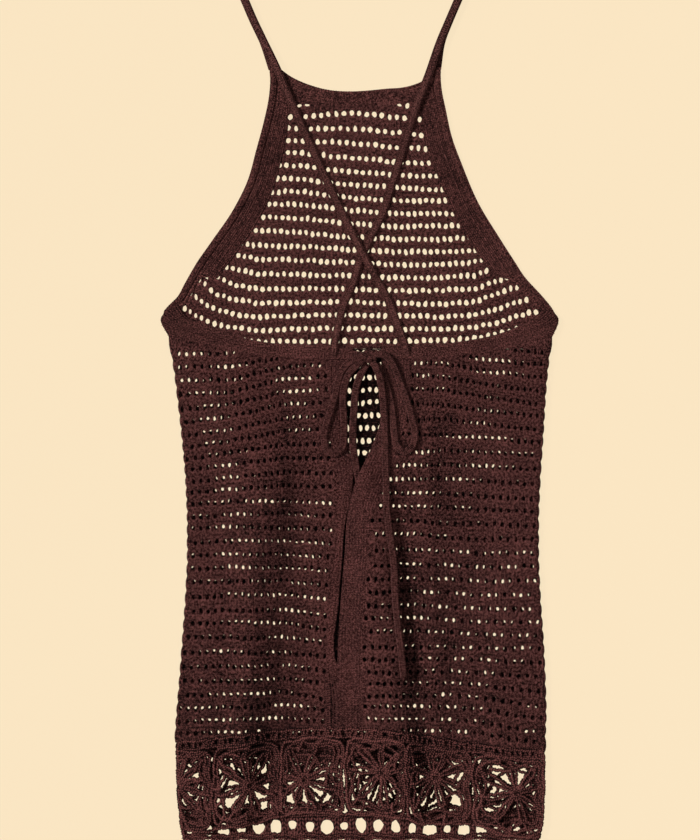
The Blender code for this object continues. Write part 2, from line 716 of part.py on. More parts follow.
def make_cord(name, route, count, surface=back_surface):
    """Pressed knit tube along a route that lies on the cloth."""
    curve = bpy.data.curves.new(name, "CURVE")
    curve.dimensions = "3D"
    curve.bevel_depth = CORD_WIDTH / 2 * MM
    curve.bevel_resolution = 2
    curve.use_fill_caps = True
    curve.materials.append(yarn("yarn_" + name, YARN_CORD))
    points = smooth_curve(route, count)
    spline = curve.splines.new("POLY")
    spline.points.add(count - 1)
    half_height = CORD_WIDTH / 2 * CORD_FLATTENING
    for slot, p in zip(spline.points, points):
        z = surface(p.x, p.y) + p.z + half_height
        place = in_frame(p.x, p.y, z / CORD_FLATTENING)
        slot.co = (place.x, place.y, place.z, 1.0)
    piece = bpy.data.objects.new(name, curve)
    piece.scale = (1.0, 1.0, CORD_FLATTENING)
    bpy.context.scene.collection.objects.link(piece)


def make_knot():
    """The bow's knot: a soft lump with the wrap standing out round it."""
    x, y, z, half_x, half_y, half_z = KNOT
    mesh = bpy.data.meshes.new("tie_knot")
    build = bmesh.new()
    bmesh.ops.create_uvsphere(build, u_segments=16, v_segments=10, radius=1.0)
    for vertex in build.verts:
        co = vertex.co
        wrap = 1.0 + 0.12 * math.exp(-(co.x / 0.45) ** 2)
        square = 1.0 / max(math.sqrt(max(abs(co.x), abs(co.y), abs(co.z))), 0.5)
        p = co * square
        vertex.co = in_frame(x + p.x * half_x * 0.9, y + p.y * half_y * wrap * 0.85,
                             z + p.z * half_z * wrap * 0.88)
    bmesh.ops.triangulate(build, faces=build.faces[:])
    build.to_mesh(mesh)
    build.free()
    place_mesh("tie_knot", mesh, YARN_CORD)


def clear_scene():
    for piece in list(bpy.data.objects):
        bpy.data.objects.remove(piece)


def build_dress():
    clear_scene()
    left_inner = make_front_side_band("front_side_band_left", ARMHOLE_LEFT, 1.0)
    right_inner = make_front_side_band("front_side_band_right", ARMHOLE_RIGHT, -1.0)
    make_front_panel(left_inner, right_inner)
    make_front_neck_band(left_inner, right_inner)
    make_top_band("back_top_band_left", TOP_BAND_LEFT_UPPER, TOP_BAND_LEFT_LOWER, left_back)
    make_top_band("back_top_band_right", TOP_BAND_RIGHT_UPPER, TOP_BAND_RIGHT_LOWER, right_back)
    make_back_panel("back_panel_left", 1, PLACKET_LEFT, TOP_BAND_LEFT_LOWER, left_back)
    make_back_panel("back_panel_right", 2, PLACKET_RIGHT, TOP_BAND_RIGHT_LOWER, right_back)
    make_placket("placket_left", PLACKET_LEFT, left_back)
    make_placket("placket_right", PLACKET_RIGHT, right_back)
    make_borders()
    make_strap("strap_left", STRAP_LEFT_RISE, STRAP_LEFT_FALL, True)
    make_strap("strap_right", STRAP_RIGHT_RISE, STRAP_RIGHT_FALL, False)
    make_tie("tie_left", TIE_LEFT)
    make_tie("tie_right", TIE_RIGHT)
    make_knot()
    make_cord("bow_loop_left", LOOP_LEFT, 34)
    make_cord("bow_loop_right", LOOP_RIGHT, 34)
    make_cord("tie_tail_right", TAIL_RIGHT, 34)
    make_cord("tie_tail_left", TAIL_LEFT, 18, left_surface)


build_dress()
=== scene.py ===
# Crochet mini dress, laid flat with its back upwards and photographed from straight above.
# Lengths are in millimetres from the middle of the front hem, and turned to metres for Blender.
import json
import math
import random

import bpy
import numpy as np
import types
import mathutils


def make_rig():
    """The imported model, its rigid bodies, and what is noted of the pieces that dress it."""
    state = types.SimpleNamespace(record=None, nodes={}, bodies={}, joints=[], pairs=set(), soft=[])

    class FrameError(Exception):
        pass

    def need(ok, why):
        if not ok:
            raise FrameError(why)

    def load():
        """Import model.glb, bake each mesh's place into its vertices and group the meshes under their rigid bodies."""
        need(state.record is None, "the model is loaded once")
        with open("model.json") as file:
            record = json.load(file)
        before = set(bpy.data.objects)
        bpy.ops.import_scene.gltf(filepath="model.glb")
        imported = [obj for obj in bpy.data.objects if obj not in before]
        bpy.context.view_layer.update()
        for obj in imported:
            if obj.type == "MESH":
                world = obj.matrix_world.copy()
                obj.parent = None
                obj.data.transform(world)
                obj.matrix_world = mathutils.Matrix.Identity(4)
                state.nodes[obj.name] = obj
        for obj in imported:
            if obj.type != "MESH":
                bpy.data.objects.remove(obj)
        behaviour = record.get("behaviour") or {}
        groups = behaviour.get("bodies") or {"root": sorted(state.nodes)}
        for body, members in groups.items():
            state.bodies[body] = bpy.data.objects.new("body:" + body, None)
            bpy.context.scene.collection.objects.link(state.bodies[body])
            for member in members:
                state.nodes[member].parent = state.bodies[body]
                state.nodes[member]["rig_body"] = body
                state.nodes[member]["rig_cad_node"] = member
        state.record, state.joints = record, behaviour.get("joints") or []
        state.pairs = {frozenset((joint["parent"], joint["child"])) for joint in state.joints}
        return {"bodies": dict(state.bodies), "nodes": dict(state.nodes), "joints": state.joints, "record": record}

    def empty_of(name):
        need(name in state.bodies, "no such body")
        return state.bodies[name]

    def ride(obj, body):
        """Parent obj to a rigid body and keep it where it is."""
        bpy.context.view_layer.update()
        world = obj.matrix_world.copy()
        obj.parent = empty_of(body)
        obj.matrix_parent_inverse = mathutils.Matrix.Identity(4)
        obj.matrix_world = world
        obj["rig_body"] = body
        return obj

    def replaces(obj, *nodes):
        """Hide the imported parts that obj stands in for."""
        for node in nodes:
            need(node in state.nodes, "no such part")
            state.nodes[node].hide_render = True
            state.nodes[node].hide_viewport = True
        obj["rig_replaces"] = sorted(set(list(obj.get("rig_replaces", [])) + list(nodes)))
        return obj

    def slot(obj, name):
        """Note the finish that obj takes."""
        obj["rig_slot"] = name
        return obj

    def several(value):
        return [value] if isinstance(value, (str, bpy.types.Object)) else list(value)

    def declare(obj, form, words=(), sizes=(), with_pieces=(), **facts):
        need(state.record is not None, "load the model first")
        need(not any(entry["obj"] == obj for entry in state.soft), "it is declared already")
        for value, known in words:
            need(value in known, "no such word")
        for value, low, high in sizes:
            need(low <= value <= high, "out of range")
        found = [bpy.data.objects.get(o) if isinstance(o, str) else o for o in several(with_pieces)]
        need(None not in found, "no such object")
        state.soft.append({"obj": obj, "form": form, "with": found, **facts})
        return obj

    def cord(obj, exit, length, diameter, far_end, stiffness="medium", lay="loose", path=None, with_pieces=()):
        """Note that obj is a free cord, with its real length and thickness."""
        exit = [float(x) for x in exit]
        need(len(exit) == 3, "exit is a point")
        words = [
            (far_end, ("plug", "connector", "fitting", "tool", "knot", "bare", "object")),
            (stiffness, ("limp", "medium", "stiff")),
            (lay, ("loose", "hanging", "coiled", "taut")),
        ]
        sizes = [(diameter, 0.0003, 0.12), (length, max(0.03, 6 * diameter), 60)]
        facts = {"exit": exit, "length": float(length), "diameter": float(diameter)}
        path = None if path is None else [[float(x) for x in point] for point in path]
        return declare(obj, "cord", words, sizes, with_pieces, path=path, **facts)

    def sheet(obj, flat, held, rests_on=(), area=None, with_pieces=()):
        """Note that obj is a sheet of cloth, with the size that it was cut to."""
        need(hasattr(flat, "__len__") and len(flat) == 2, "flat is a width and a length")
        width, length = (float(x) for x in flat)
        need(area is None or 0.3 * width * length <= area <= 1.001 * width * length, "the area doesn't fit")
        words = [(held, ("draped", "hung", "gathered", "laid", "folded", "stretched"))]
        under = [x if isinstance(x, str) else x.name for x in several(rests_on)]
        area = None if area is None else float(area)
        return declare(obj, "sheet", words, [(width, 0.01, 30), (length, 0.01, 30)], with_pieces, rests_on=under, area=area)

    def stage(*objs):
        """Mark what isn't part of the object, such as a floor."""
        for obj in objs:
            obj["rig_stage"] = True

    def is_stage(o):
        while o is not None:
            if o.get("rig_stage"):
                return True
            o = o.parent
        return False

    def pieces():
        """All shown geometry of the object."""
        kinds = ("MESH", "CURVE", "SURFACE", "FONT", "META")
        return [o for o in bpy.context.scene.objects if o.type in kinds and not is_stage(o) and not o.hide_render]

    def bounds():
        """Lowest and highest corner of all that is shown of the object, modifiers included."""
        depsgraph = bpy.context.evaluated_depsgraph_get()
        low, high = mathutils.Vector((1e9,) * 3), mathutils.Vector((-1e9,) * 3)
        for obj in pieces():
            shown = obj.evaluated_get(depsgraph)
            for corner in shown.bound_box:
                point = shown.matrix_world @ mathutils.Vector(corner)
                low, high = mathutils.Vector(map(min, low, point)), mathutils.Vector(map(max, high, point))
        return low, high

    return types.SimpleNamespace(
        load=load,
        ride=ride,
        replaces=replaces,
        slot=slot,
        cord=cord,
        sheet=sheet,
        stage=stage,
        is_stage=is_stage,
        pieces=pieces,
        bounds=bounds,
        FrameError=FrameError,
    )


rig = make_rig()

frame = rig.load()
cad_low, cad_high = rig.bounds()

# ------------------------------------------------------------------ the surface, light and camera
# The dress lies on a smooth cream surface that shines evenly through every gap of the openwork.
# A broad lamp stands up and to the left, the camera looks straight down on the middle of the back.
MM = 0.001
MIDDLE_X = -1.5
MIDDLE_Y = 469.0
PIXEL = 1.04                  # millimetres of cloth to one row or column of the photograph
HEM_ROW = 846.0               # the photograph's row of the front hem
CENTRE_COLUMN = 361.0         # and its column of the dress's middle line
FRAME_COLUMNS = 700.0
FRAME_ROWS = 840.0
LENS = 85.0
SENSOR = 36.0
CLOTH_HEIGHT = 3.0            # of the cloth that the camera's frame is measured at
CREAM = (0.985, 0.815, 0.566)
DEEPER_CREAM = (0.975, 0.805, 0.560)
MATT_CREAM = (0.80, 0.62, 0.42)
SURFACE_REACH = 6.0           # metres from the middle to the sheet's edges
SURFACE_LEVEL = -0.0006


def across(column):
    """Millimetres from the middle line of a column of the photograph."""
    return (column - CENTRE_COLUMN) * PIXEL


def upward(row):
    """Millimetres above the front hem of a row of the photograph."""
    return (HEM_ROW - row) * PIXEL


def in_frame(points):
    """Dress millimetres to the part's metres."""
    return (np.asarray(points, float) - (MIDDLE_X, MIDDLE_Y, 0.0)) * MM


class Wire:
    """A value in a node tree. Sums and products of wires add their Math nodes."""

    def __init__(self, graph, node, output=0):
        self.graph = graph
        self.made = node
        self.socket = node.outputs[output] if len(node.outputs) else None

    def other(self, output):
        """Another output of the same node."""
        return Wire(self.graph, self.made, output)

    def maths(self, operation, *values):
        sockets = dict(enumerate(values))
        return self.graph.node("ShaderNodeMath", {"operation": operation}, sockets)

    def __add__(self, value):
        return self.maths("ADD", self, value)

    def __radd__(self, value):
        return self.maths("ADD", value, self)

    def __sub__(self, value):
        return self.maths("SUBTRACT", self, value)

    def __rsub__(self, value):
        return self.maths("SUBTRACT", value, self)

    def __mul__(self, value):
        return self.maths("MULTIPLY", self, value)

    def __rmul__(self, value):
        return self.maths("MULTIPLY", value, self)

    def __truediv__(self, value):
        return self.maths("DIVIDE", self, value)

    def __pow__(self, value):
        return self.maths("POWER", self, value)

    def __abs__(self):
        return self.maths("ABSOLUTE", self)

    def fraction(self):
        return self.maths("FRACT", self)

    def cosine(self):
        return self.maths("COSINE", self)

    def sine(self):
        return self.maths("SINE", self)

    def clamped(self):
        return self.graph.node("ShaderNodeClamp", {}, {0: self})


class Graph:
    """A node tree that is being drawn, node by node."""

    def __init__(self, tree):
        self.tree = tree

    def node(self, kind, settings=(), sockets=(), output=0):
        made = self.tree.nodes.new(kind)
        for key, value in dict(settings).items():
            if key == "stops":
                ramp = made.color_ramp
                for place, colour in value[len(ramp.elements):]:
                    ramp.elements.new(place)
                for stop, (place, colour) in zip(ramp.elements, value):
                    stop.position = place
                    stop.color = colour
            else:
                setattr(made, key, value)
        for key, value in dict(sockets).items():
            if isinstance(value, Wire):
                self.tree.links.new(value.socket, made.inputs[key])
            else:
                made.inputs[key].default_value = value
        return Wire(self, made, output)


def new_finish(name):
    """A material with an empty tree, and the graph that draws it."""
    material = bpy.data.materials.new(name)
    material.use_nodes = True
    material.node_tree.nodes.clear()
    return material, Graph(material.node_tree)


def cream_surface():
    """Smooth cream sheet that glows evenly and takes a little of the dress's shadow."""
    finish, graph = new_finish("cream_surface")
    mottle = graph.node("ShaderNodeTexNoise", {}, {"Scale": 60.0, "Detail": 3.0})
    tint = graph.node("ShaderNodeMix", {"data_type": "RGBA"},
                      {0: mottle, 6: (*CREAM, 1.0), 7: (*DEEPER_CREAM, 1.0)}, 2)
    glow = graph.node("ShaderNodeEmission", {}, {0: tint, 1: 1.0})
    matt = graph.node("ShaderNodeBsdfDiffuse", {}, {0: (*MATT_CREAM, 1.0), 1: 0.9})
    sheet = graph.node("ShaderNodeMixShader", {}, {0: 0.07, 1: glow, 2: matt})
    graph.node("ShaderNodeOutputMaterial", {}, {0: sheet})
    return finish


floor_mesh = bpy.data.meshes.new("surface")
corners = [(x * SURFACE_REACH, y * SURFACE_REACH, SURFACE_LEVEL)
           for x, y in ((-1, -1), (1, -1), (1, 1), (-1, 1))]
floor_mesh.from_pydata(corners, [], [(0, 1, 2, 3)])
floor_mesh.materials.append(cream_surface())
floor = bpy.data.objects.new("surface", floor_mesh)
bpy.context.scene.collection.objects.link(floor)
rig.stage(floor)

world = bpy.data.worlds.new("studio")
world.use_nodes = True
world.node_tree.nodes["Background"].inputs[0].default_value = (1.0, 0.98, 0.96, 1.0)
world.node_tree.nodes["Background"].inputs[1].default_value = 0.22
bpy.context.scene.world = world


def hang_lamp(name, strength, spread, heading):
    """A far soft lamp. The heading points from the dress to the lamp."""
    data = bpy.data.lights.new(name, "SUN")
    data.energy = strength
    data.angle = math.radians(spread)
    data.color = (1.0, 0.985, 0.96)
    lamp = bpy.data.objects.new(name, data)
    direction = np.array(heading, float)
    lamp.rotation_mode = "XYZ"
    flat = math.hypot(direction[0], direction[1])
    lamp.rotation_euler = (math.atan2(flat, direction[2]), 0.0,
                           math.atan2(direction[0], -direction[1]))
    bpy.context.scene.collection.objects.link(lamp)


hang_lamp("window", 3.3, 11.0, (-0.80, 0.28, 0.66))
hang_lamp("softbox", 0.35, 50.0, (0.5, -0.2, 1.2))

camera_data = bpy.data.cameras.new("camera")
camera_data.lens = LENS
camera_data.sensor_width = SENSOR
camera = bpy.data.objects.new("camera", camera_data)
view_height = FRAME_ROWS * PIXEL
camera_place = in_frame([across(FRAME_COLUMNS / 2), upward(FRAME_ROWS / 2),
                         CLOTH_HEIGHT + view_height * LENS / SENSOR])
camera.location = camera_place.tolist()
bpy.context.scene.collection.objects.link(camera)
bpy.context.scene.camera = camera
bpy.context.scene.view_settings.view_transform = "Standard"

# ------------------------------------------------------------------------- the tie and its bow
# One narrow knit tube, pressed flat so that its wales stand up as long ribs, runs from the top
# bands through the knot. Its two tails hang free on the back, the left one under the placket.
CLOTH = 2.0
SEAM = 0.3
BACK_LIFT = CLOTH + SEAM
TIE_WIDTH = 7.6
TIE_HEIGHT = 4.0
TIE_RIBS = 3
TIE_SIDES = 28                # corners of the tube's section
RIB_DEPTH = 0.42              # share of the tube's half height
TIE_STEP = 2.0                # between two rings of the tube
SHORT_TIE = (3.9, 1.3, 0.25)  # half width, half height and rib depth, where it lies pressed
SHORT_TIE_LIFT = 1.1
PLACKET_LIFT = 2.6            # the lap of the right half over the left one
PLACKET_HEAD = 450.0          # the lap starts here and is full an ease lower
PLACKET_EASE = 40.0
PLACKET_REACH = 30.0          # how far beside the placket the right half comes down again
FLAT_BY_SLIT = 33.0           # the left half lies flat this near to the middle
FLAT_EASE = 20.0
BACK_TOP = 516.0
FOLD_FADE = 90.0              # a fold rises over this much height below its top
# crest at the top x, y and at the bottom x, y, spread left, spread right, height
FOLDS = (
    (-78, 445, -124, 10, 52, 24, 7.5),
    (8, 395, 60, 10, 50, 26, 9.5),
    (66, 470, 76, 250, 26, 16, 3.0),
    (150, 330, 150, 30, 40, 40, 2.6),
    (-150, 300, -166, 20, 26, 18, 2.4),
    (-98, 440, -126, 10, 20, 14, 2.2),
)
# where the tie lies under the placket: x, y, radius, height, share of length to width
TAIL_BUMP = (-1, 385, 26, 5.8, 0.62)
# y, inner edge x, outer edge x
PLACKET_LEFT = (
    (505.6, -9, -35), (490, -14, -35), (474, -17.5, -34), (455, -17.5, -34), (436, -16.5, -34),
    (416, -13, -31), (400, -10, -26), (390, -8.5, -24), (360, -8, -23), (335, -7, -23),
    (297, -5, -27), (256, -4, -32), (193, -3, -36), (150, -2, -38), (124, -2, -38),
)
PLACKET_RIGHT = (
    (505.6, 21, 51), (464, 21, 50), (437, 19, 45), (420, 13, 40), (404, 6, 35),
    (390, -1, 30), (368, -9, 18), (343, -14, 10), (304, -17, 8), (256, -21, 4),
    (204, -24, 1.5), (150, -25, 2), (124, -25, 3),
)
# x, y, height of the underside above the cloth
LOOP_LEFT = (
    (2.4, 509, 3.4), (-7, 506, 3.8), (-15, 500.5, 2.2), (-21.5, 491, 0.9), (-24.8, 478, 0.6),
    (-28, 464, 0.6), (-32.2, 451, 0.6), (-36.5, 437, 0.6), (-38.5, 424, 0.6),
    (-35.5, 413, 0.6), (-28, 408, 0.6), (-20.5, 413, 0.6), (-17.8, 427, 0.6),
    (-18, 445, 0.6), (-18.8, 462, 0.6), (-17.5, 478, 0.7), (-12, 491.5, 1.8),
    (1.2, 504.6, 3.4),
)
LOOP_RIGHT = (
    (14.6, 511.5, 3.6), (24, 510.5, 3.8), (31.5, 503, 2.4), (37.5, 491, 0.9), (43, 475, 0.6),
    (49, 459, 0.6), (53, 444, 0.6), (56, 427, 0.6), (52.5, 415, 0.6), (45, 410, 0.6),
    (37.5, 416, 0.6), (34.5, 430, 0.6), (33, 447, 0.6), (30.5, 462, 0.6),
    (26.5, 478, 0.6), (21.5, 491, 0.3), (16.0, 501.6, 0.0),
)
TAIL_RIGHT = (
    (12.0, 503.2, 4.2), (17.5, 493, 5.0), (21, 478, 5.2), (23, 462, 5.0),
    (24, 446, 2.6), (24.6, 430, 0.8), (25, 410, 0.7), (26, 381, 1.0), (27, 349, 1.4),
    (30, 323, 1.4), (33.5, 300, 1.5), (35.5, 259, 1.9), (37.5, 235, 2.2),
    (40, 215, 2.2), (44, 178, 2.0),
)
TAIL_LEFT = (
    (6.4, 501.6, -0.8), (0.6, 492, 0.0), (-3.6, 482, 0.5), (-6.2, 468, 0.6),
    (-7.4, 452, 0.6), (-8.4, 434, 0.5), (-8.6, 420, 0.5), (-7.2, 406, 0.4), (-4.6, 392, 0.4),
    (-2.2, 380, 0.4), (-1.0, 372, 0.4),
)
TIE_LEFT = ((-13.0, 512, 2.3), (-9.0, 511.5, 2.6), (-5, 511, 3.0), (-2, 510.4, 3.4), (2.6, 510, 3.8))
TIE_RIGHT = ((24.5, 512, 2.3), (20.5, 511.6, 2.6), (18.6, 511.2, 3.0), (16.8, 511, 3.4),
             (13.5, 510.6, 3.8))


def ease(value):
    """A smooth step from 0 to 1."""
    value = np.clip(value, 0.0, 1.0)
    return value * value * (3.0 - 2.0 * value)


def read_across(table, key, column, key_column=0):
    """A table's column where its key column passes the key."""
    rows = sorted(table, key=lambda row: row[key_column])
    return np.interp(key, [row[key_column] for row in rows], [row[column] for row in rows])


def fold_height(x, y):
    """Height of the back's folds over the flat front."""
    height = np.zeros(np.broadcast(x, y).shape)
    for top_x, top_y, low_x, low_y, left, right, crest in FOLDS:
        along = (top_y - y) / (top_y - low_y)
        crest_x = top_x + (low_x - top_x) * along
        spread = np.where(x < crest_x, left, right)
        aside = np.minimum(np.abs(x - crest_x) / spread, 1.0)
        rise = ease((top_y - y) / FOLD_FADE)
        height = height + crest * rise * (0.5 + 0.5 * np.cos(np.pi * aside))
    return height


def left_back(x, y):
    """Underside of the left half of the back."""
    return BACK_LIFT + fold_height(x, y) * ease((-FLAT_BY_SLIT - x) / FLAT_EASE)


def right_back(x, y):
    """Underside of the right half, which climbs onto the left one beside the slit."""
    outer = read_across(PLACKET_RIGHT, y, 2)
    lap = ease((PLACKET_HEAD - y) / PLACKET_EASE)
    lap = lap * ease((outer + PLACKET_REACH - x) / (PLACKET_REACH - 4.0))
    bump_x, bump_y, radius, height, slender = TAIL_BUMP
    aside = np.minimum(np.hypot(x - bump_x, (y - bump_y) * slender) / radius, 1.0)
    bump = height * (0.5 + 0.5 * np.cos(np.pi * aside))
    return BACK_LIFT + fold_height(x, y) + PLACKET_LIFT * lap + bump


def back_top(x, y):
    """Upper surface of the back, whichever half lies uppermost."""
    right = x >= read_across(PLACKET_RIGHT, y, 1)
    height = np.where(right, right_back(x, y), left_back(x, y))
    return np.where(y > BACK_TOP, BACK_LIFT, height) + CLOTH


def unit(vectors):
    """The vectors, each made one long."""
    return vectors / np.linalg.norm(vectors, axis=1)[:, None]


def distance_along(route):
    """How far along the route each of its points lies."""
    steps = np.linalg.norm(np.diff(route, axis=0), axis=1)
    return np.concatenate([[0.0], np.cumsum(steps)])


def smooth_route(points, step):
    """Points every step or so along a smooth curve through the given ones."""
    knots = np.asarray(points, float)
    reach = np.linalg.norm(np.diff(knots, axis=0), axis=1)
    place = distance_along(knots)
    slope = np.gradient(knots, place, axis=0)
    count = max(int(place[-1] / step), 3)
    wanted = np.linspace(0.0, place[-1], count)
    index = np.clip(np.searchsorted(place, wanted, side="right") - 1, 0, len(reach) - 1)
    span = reach[index]
    t = ((wanted - place[index]) / span)[:, None]
    span = span[:, None]
    start, end = knots[index], knots[index + 1]
    return ((2 * t**3 - 3 * t**2 + 1) * start + (t**3 - 2 * t**2 + t) * span * slope[index]
            + (3 * t**2 - 2 * t**3) * end + (t**3 - t**2) * span * slope[index + 1])


def show_piece(name, points, faces, finish, uv=None):
    """One closed piece of the dress from its points, with the map that its stitches follow."""
    mesh = bpy.data.meshes.new(name)
    faces = [list(map(int, face)) for face in faces]
    mesh.from_pydata(in_frame(points).tolist(), [], faces)
    if uv is not None:
        layer = mesh.uv_layers.new(name="knit")
        corner = np.empty(len(mesh.loops), dtype=np.int32)
        mesh.loops.foreach_get("vertex_index", corner)
        layer.data.foreach_set("uv", np.asarray(uv, np.float32)[corner].ravel())
    mesh.materials.append(finish)
    mesh.shade_smooth()
    mesh.validate()
    piece = bpy.data.objects.new(name, mesh)
    bpy.context.scene.collection.objects.link(piece)
    return piece


def settle(piece, slot, *nodes):
    """The piece rides on the dress, takes the slot's finish and stands for its nodes."""
    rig.ride(piece, "root")
    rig.slot(piece, slot)
    if nodes:
        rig.replaces(piece, *nodes)
    return piece


def tube_faces(rings, sides, start=0, turned=False):
    """The quads of a tube of rings, then its two ends. A turned tube's faces look the other way."""
    faces = []
    for ring in range(rings - 1):
        for corner in range(sides):
            a = start + ring * sides + corner
            b = start + ring * sides + (corner + 1) % sides
            faces.append((a, b, b + sides, a + sides) if turned else (a, a + sides, b + sides, b))
    first = [start + corner for corner in range(sides)]
    last = [corner + (rings - 1) * sides for corner in first]
    faces += [first[::-1], last] if turned else [first, last[::-1]]
    return faces


def ring_points(route, side, up, wide, high):
    """Rings of points round a route: wide and high are each point's place in its ring."""
    return (route[:, None, :] + side[:, None, :] * wide[:, :, None]
            + up[:, None, :] * high[:, :, None])


def swept_tube(name, route, half_width, half_height, finish, ribs, rib_depth, sides=TIE_SIDES):
    """A pressed tube along a route, ribbed lengthwise."""
    along = unit(np.gradient(route, axis=0))
    side = unit(np.column_stack([along[:, 1], -along[:, 0], np.zeros(len(route))]))
    up = np.cross(side, along)
    angle = np.linspace(0.0, 2.0 * np.pi, sides, endpoint=False)
    half_width = np.broadcast_to(half_width, len(route))[:, None]
    half_height = np.broadcast_to(half_height, len(route))[:, None]
    # powers under one press the round section flat
    out = np.sign(np.cos(angle)) * np.abs(np.cos(angle)) ** 0.8
    rise = np.sign(np.sin(angle)) * np.abs(np.sin(angle)) ** 0.7
    wave = 0.5 + 0.5 * np.cos((out + 1.0) * np.pi * ribs)
    rise = rise * (1.0 - rib_depth * wave * (np.abs(out) < 0.98))
    points = ring_points(route, side, up, half_width * out, half_height * rise)
    uv = np.empty((len(route), sides, 2))
    uv[:, :, 0] = (out + 1.0) * half_width
    uv[:, :, 1] = distance_along(route)[:, None]
    return show_piece(name, points.reshape(-1, 3), tube_faces(len(route), sides), finish,
                      uv.reshape(-1, 2))


# scales of the yarn's unevenness, the finest first
FIBRE_SCALE = 1500.0
PLAIN_FLECK_SCALE = 620.0
STITCHED_FLECK_SCALE = 430.0
WOBBLE_SCALE = 260.0
PATCH_SCALE = 38.0
MIDDLE_LIGHT = 0.45
SHEEN = (0.55, 0.35, 0.30)


def knit_finish(name, deep, raised, wale=0.0, course=0.0, relief=0.4, lean=1.5, contrast=1.3,
                grain=2.0, lift=False):
    """Matt cotton knit: columns of small V stitches along the piece's own map, or plain yarn.
    It runs from painted shade between the yarns to the raised colour on them."""
    material, graph = new_finish(name)
    coordinates = graph.node("ShaderNodeTexCoord").other("Object")

    def noise(scale, detail, roughness=0.5):
        return graph.node("ShaderNodeTexNoise", {}, {"Vector": coordinates, "Scale": scale,
                                                     "Detail": detail, "Roughness": roughness})

    fibre = noise(FIBRE_SCALE, 3.0, 0.7)
    patch = noise(PATCH_SCALE, 3.0)
    fleck = noise(STITCHED_FLECK_SCALE if wale else PLAIN_FLECK_SCALE, 2.0)
    height = fleck
    if wale:
        place = graph.node("ShaderNodeUVMap", {"uv_map": "knit"})
        split = graph.node("ShaderNodeSeparateXYZ", {}, {0: place})
        wobble = noise(WOBBLE_SCALE, 1.0)
        columns = split / wale + (wobble - 0.5) * 0.5
        rows = split.other("Y") / course + (wobble - 0.5) * 0.6
        aside = abs(columns.fraction() - 0.5)
        leg = 1.0 - (abs(aside - 0.25) * 4.0) ** 2.0
        stitch = ((rows + aside * lean) * (2.0 * math.pi)).cosine() * 0.5 + 0.5
        height = (leg * 0.9 + 0.1) * (stitch * 0.7 + 0.3)
    # painted shade: the light falls low where the stitches sink between the yarns, with random flecks and patches of
    # the yarn's own tone
    light = (MIDDLE_LIGHT + (height - MIDDLE_LIGHT) * contrast + (fleck - 0.5) * grain
             + (fibre - 0.5) * 1.4 + (patch - 0.5) * 0.5)
    if lift:
        # each point's own tone, partly random and partly painted light and shade, brightens or darkens it
        strand = graph.node("ShaderNodeAttribute", {"attribute_name": "lift"}).other("Fac")
        light = light + (strand - 0.5) * 0.6
    light = light.clamped() ** 1.5
    colour = graph.node("ShaderNodeMix", {"data_type": "RGBA"},
                        {0: light, 6: (*deep, 1.0), 7: (*raised, 1.0)}, 2)
    bump = graph.node("ShaderNodeBump", {}, {"Strength": 1.0, "Distance": relief * MM,
                                             "Height": height * 0.8 + fibre * 0.35})
    cloth = graph.node("ShaderNodeBsdfPrincipled", {}, {
        "Base Color": colour, "Roughness": 0.9, "Normal": bump, "Sheen Weight": 0.05,
        "Sheen Roughness": 0.5, "Sheen Tint": (*SHEEN, 1.0),
        "Specular IOR Level": 0.06})
    graph.node("ShaderNodeOutputMaterial", {}, {0: cloth})
    return material


tie_finish = knit_finish("tie_knit", (0.004, 0.0013, 0.0012), (0.165, 0.058, 0.052), 2.5, 1.8,
                         0.6, contrast=1.7, grain=2.6)


def left_top(x, y):
    """Upper surface of the left half, also where the right one covers it."""
    return left_back(x, y) + CLOTH


def make_tie(name, points, surface=back_top, end_width=TIE_WIDTH):
    """A length of the tie and its middle line, lying on the cloth or lifted off it."""
    route = smooth_route(points, TIE_STEP)
    route[:, 2] += surface(route[:, 0], route[:, 1]) + TIE_HEIGHT / 2
    share = np.linspace(0.0, 1.0, len(route))
    half_width = (TIE_WIDTH + (end_width - TIE_WIDTH) * share) / 2
    piece = swept_tube(name, route, half_width, TIE_HEIGHT / 2, tie_finish, TIE_RIBS, RIB_DEPTH)
    return settle(piece, "cord_knit", name), route


for tail_name, tail_points, tail_surface, end_width in (
        ("tie_tail_right", TAIL_RIGHT, back_top, 7.2), ("tie_tail_left", TAIL_LEFT, left_top, 8.0)):
    tail, route = make_tie(tail_name, tail_points, tail_surface, end_width)
    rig.cord(tail, exit=in_frame(route[0]).tolist(), length=distance_along(route)[-1] * MM,
            diameter=TIE_WIDTH * MM, far_end="bare", stiffness="limp", lay="loose",
            path=in_frame(route).tolist())
make_tie("bow_loop_left", LOOP_LEFT)
make_tie("bow_loop_right", LOOP_RIGHT)
for tie_name, tie_points in (("tie_left", TIE_LEFT), ("tie_right", TIE_RIGHT)):
    route = smooth_route(tie_points, 1.5)
    route[:, 2] += SHORT_TIE_LIFT
    half_width, half_height, rib_depth = SHORT_TIE
    short = swept_tube(tie_name, route, half_width, half_height, tie_finish, TIE_RIBS, rib_depth)
    settle(short, "cord_knit", tie_name)

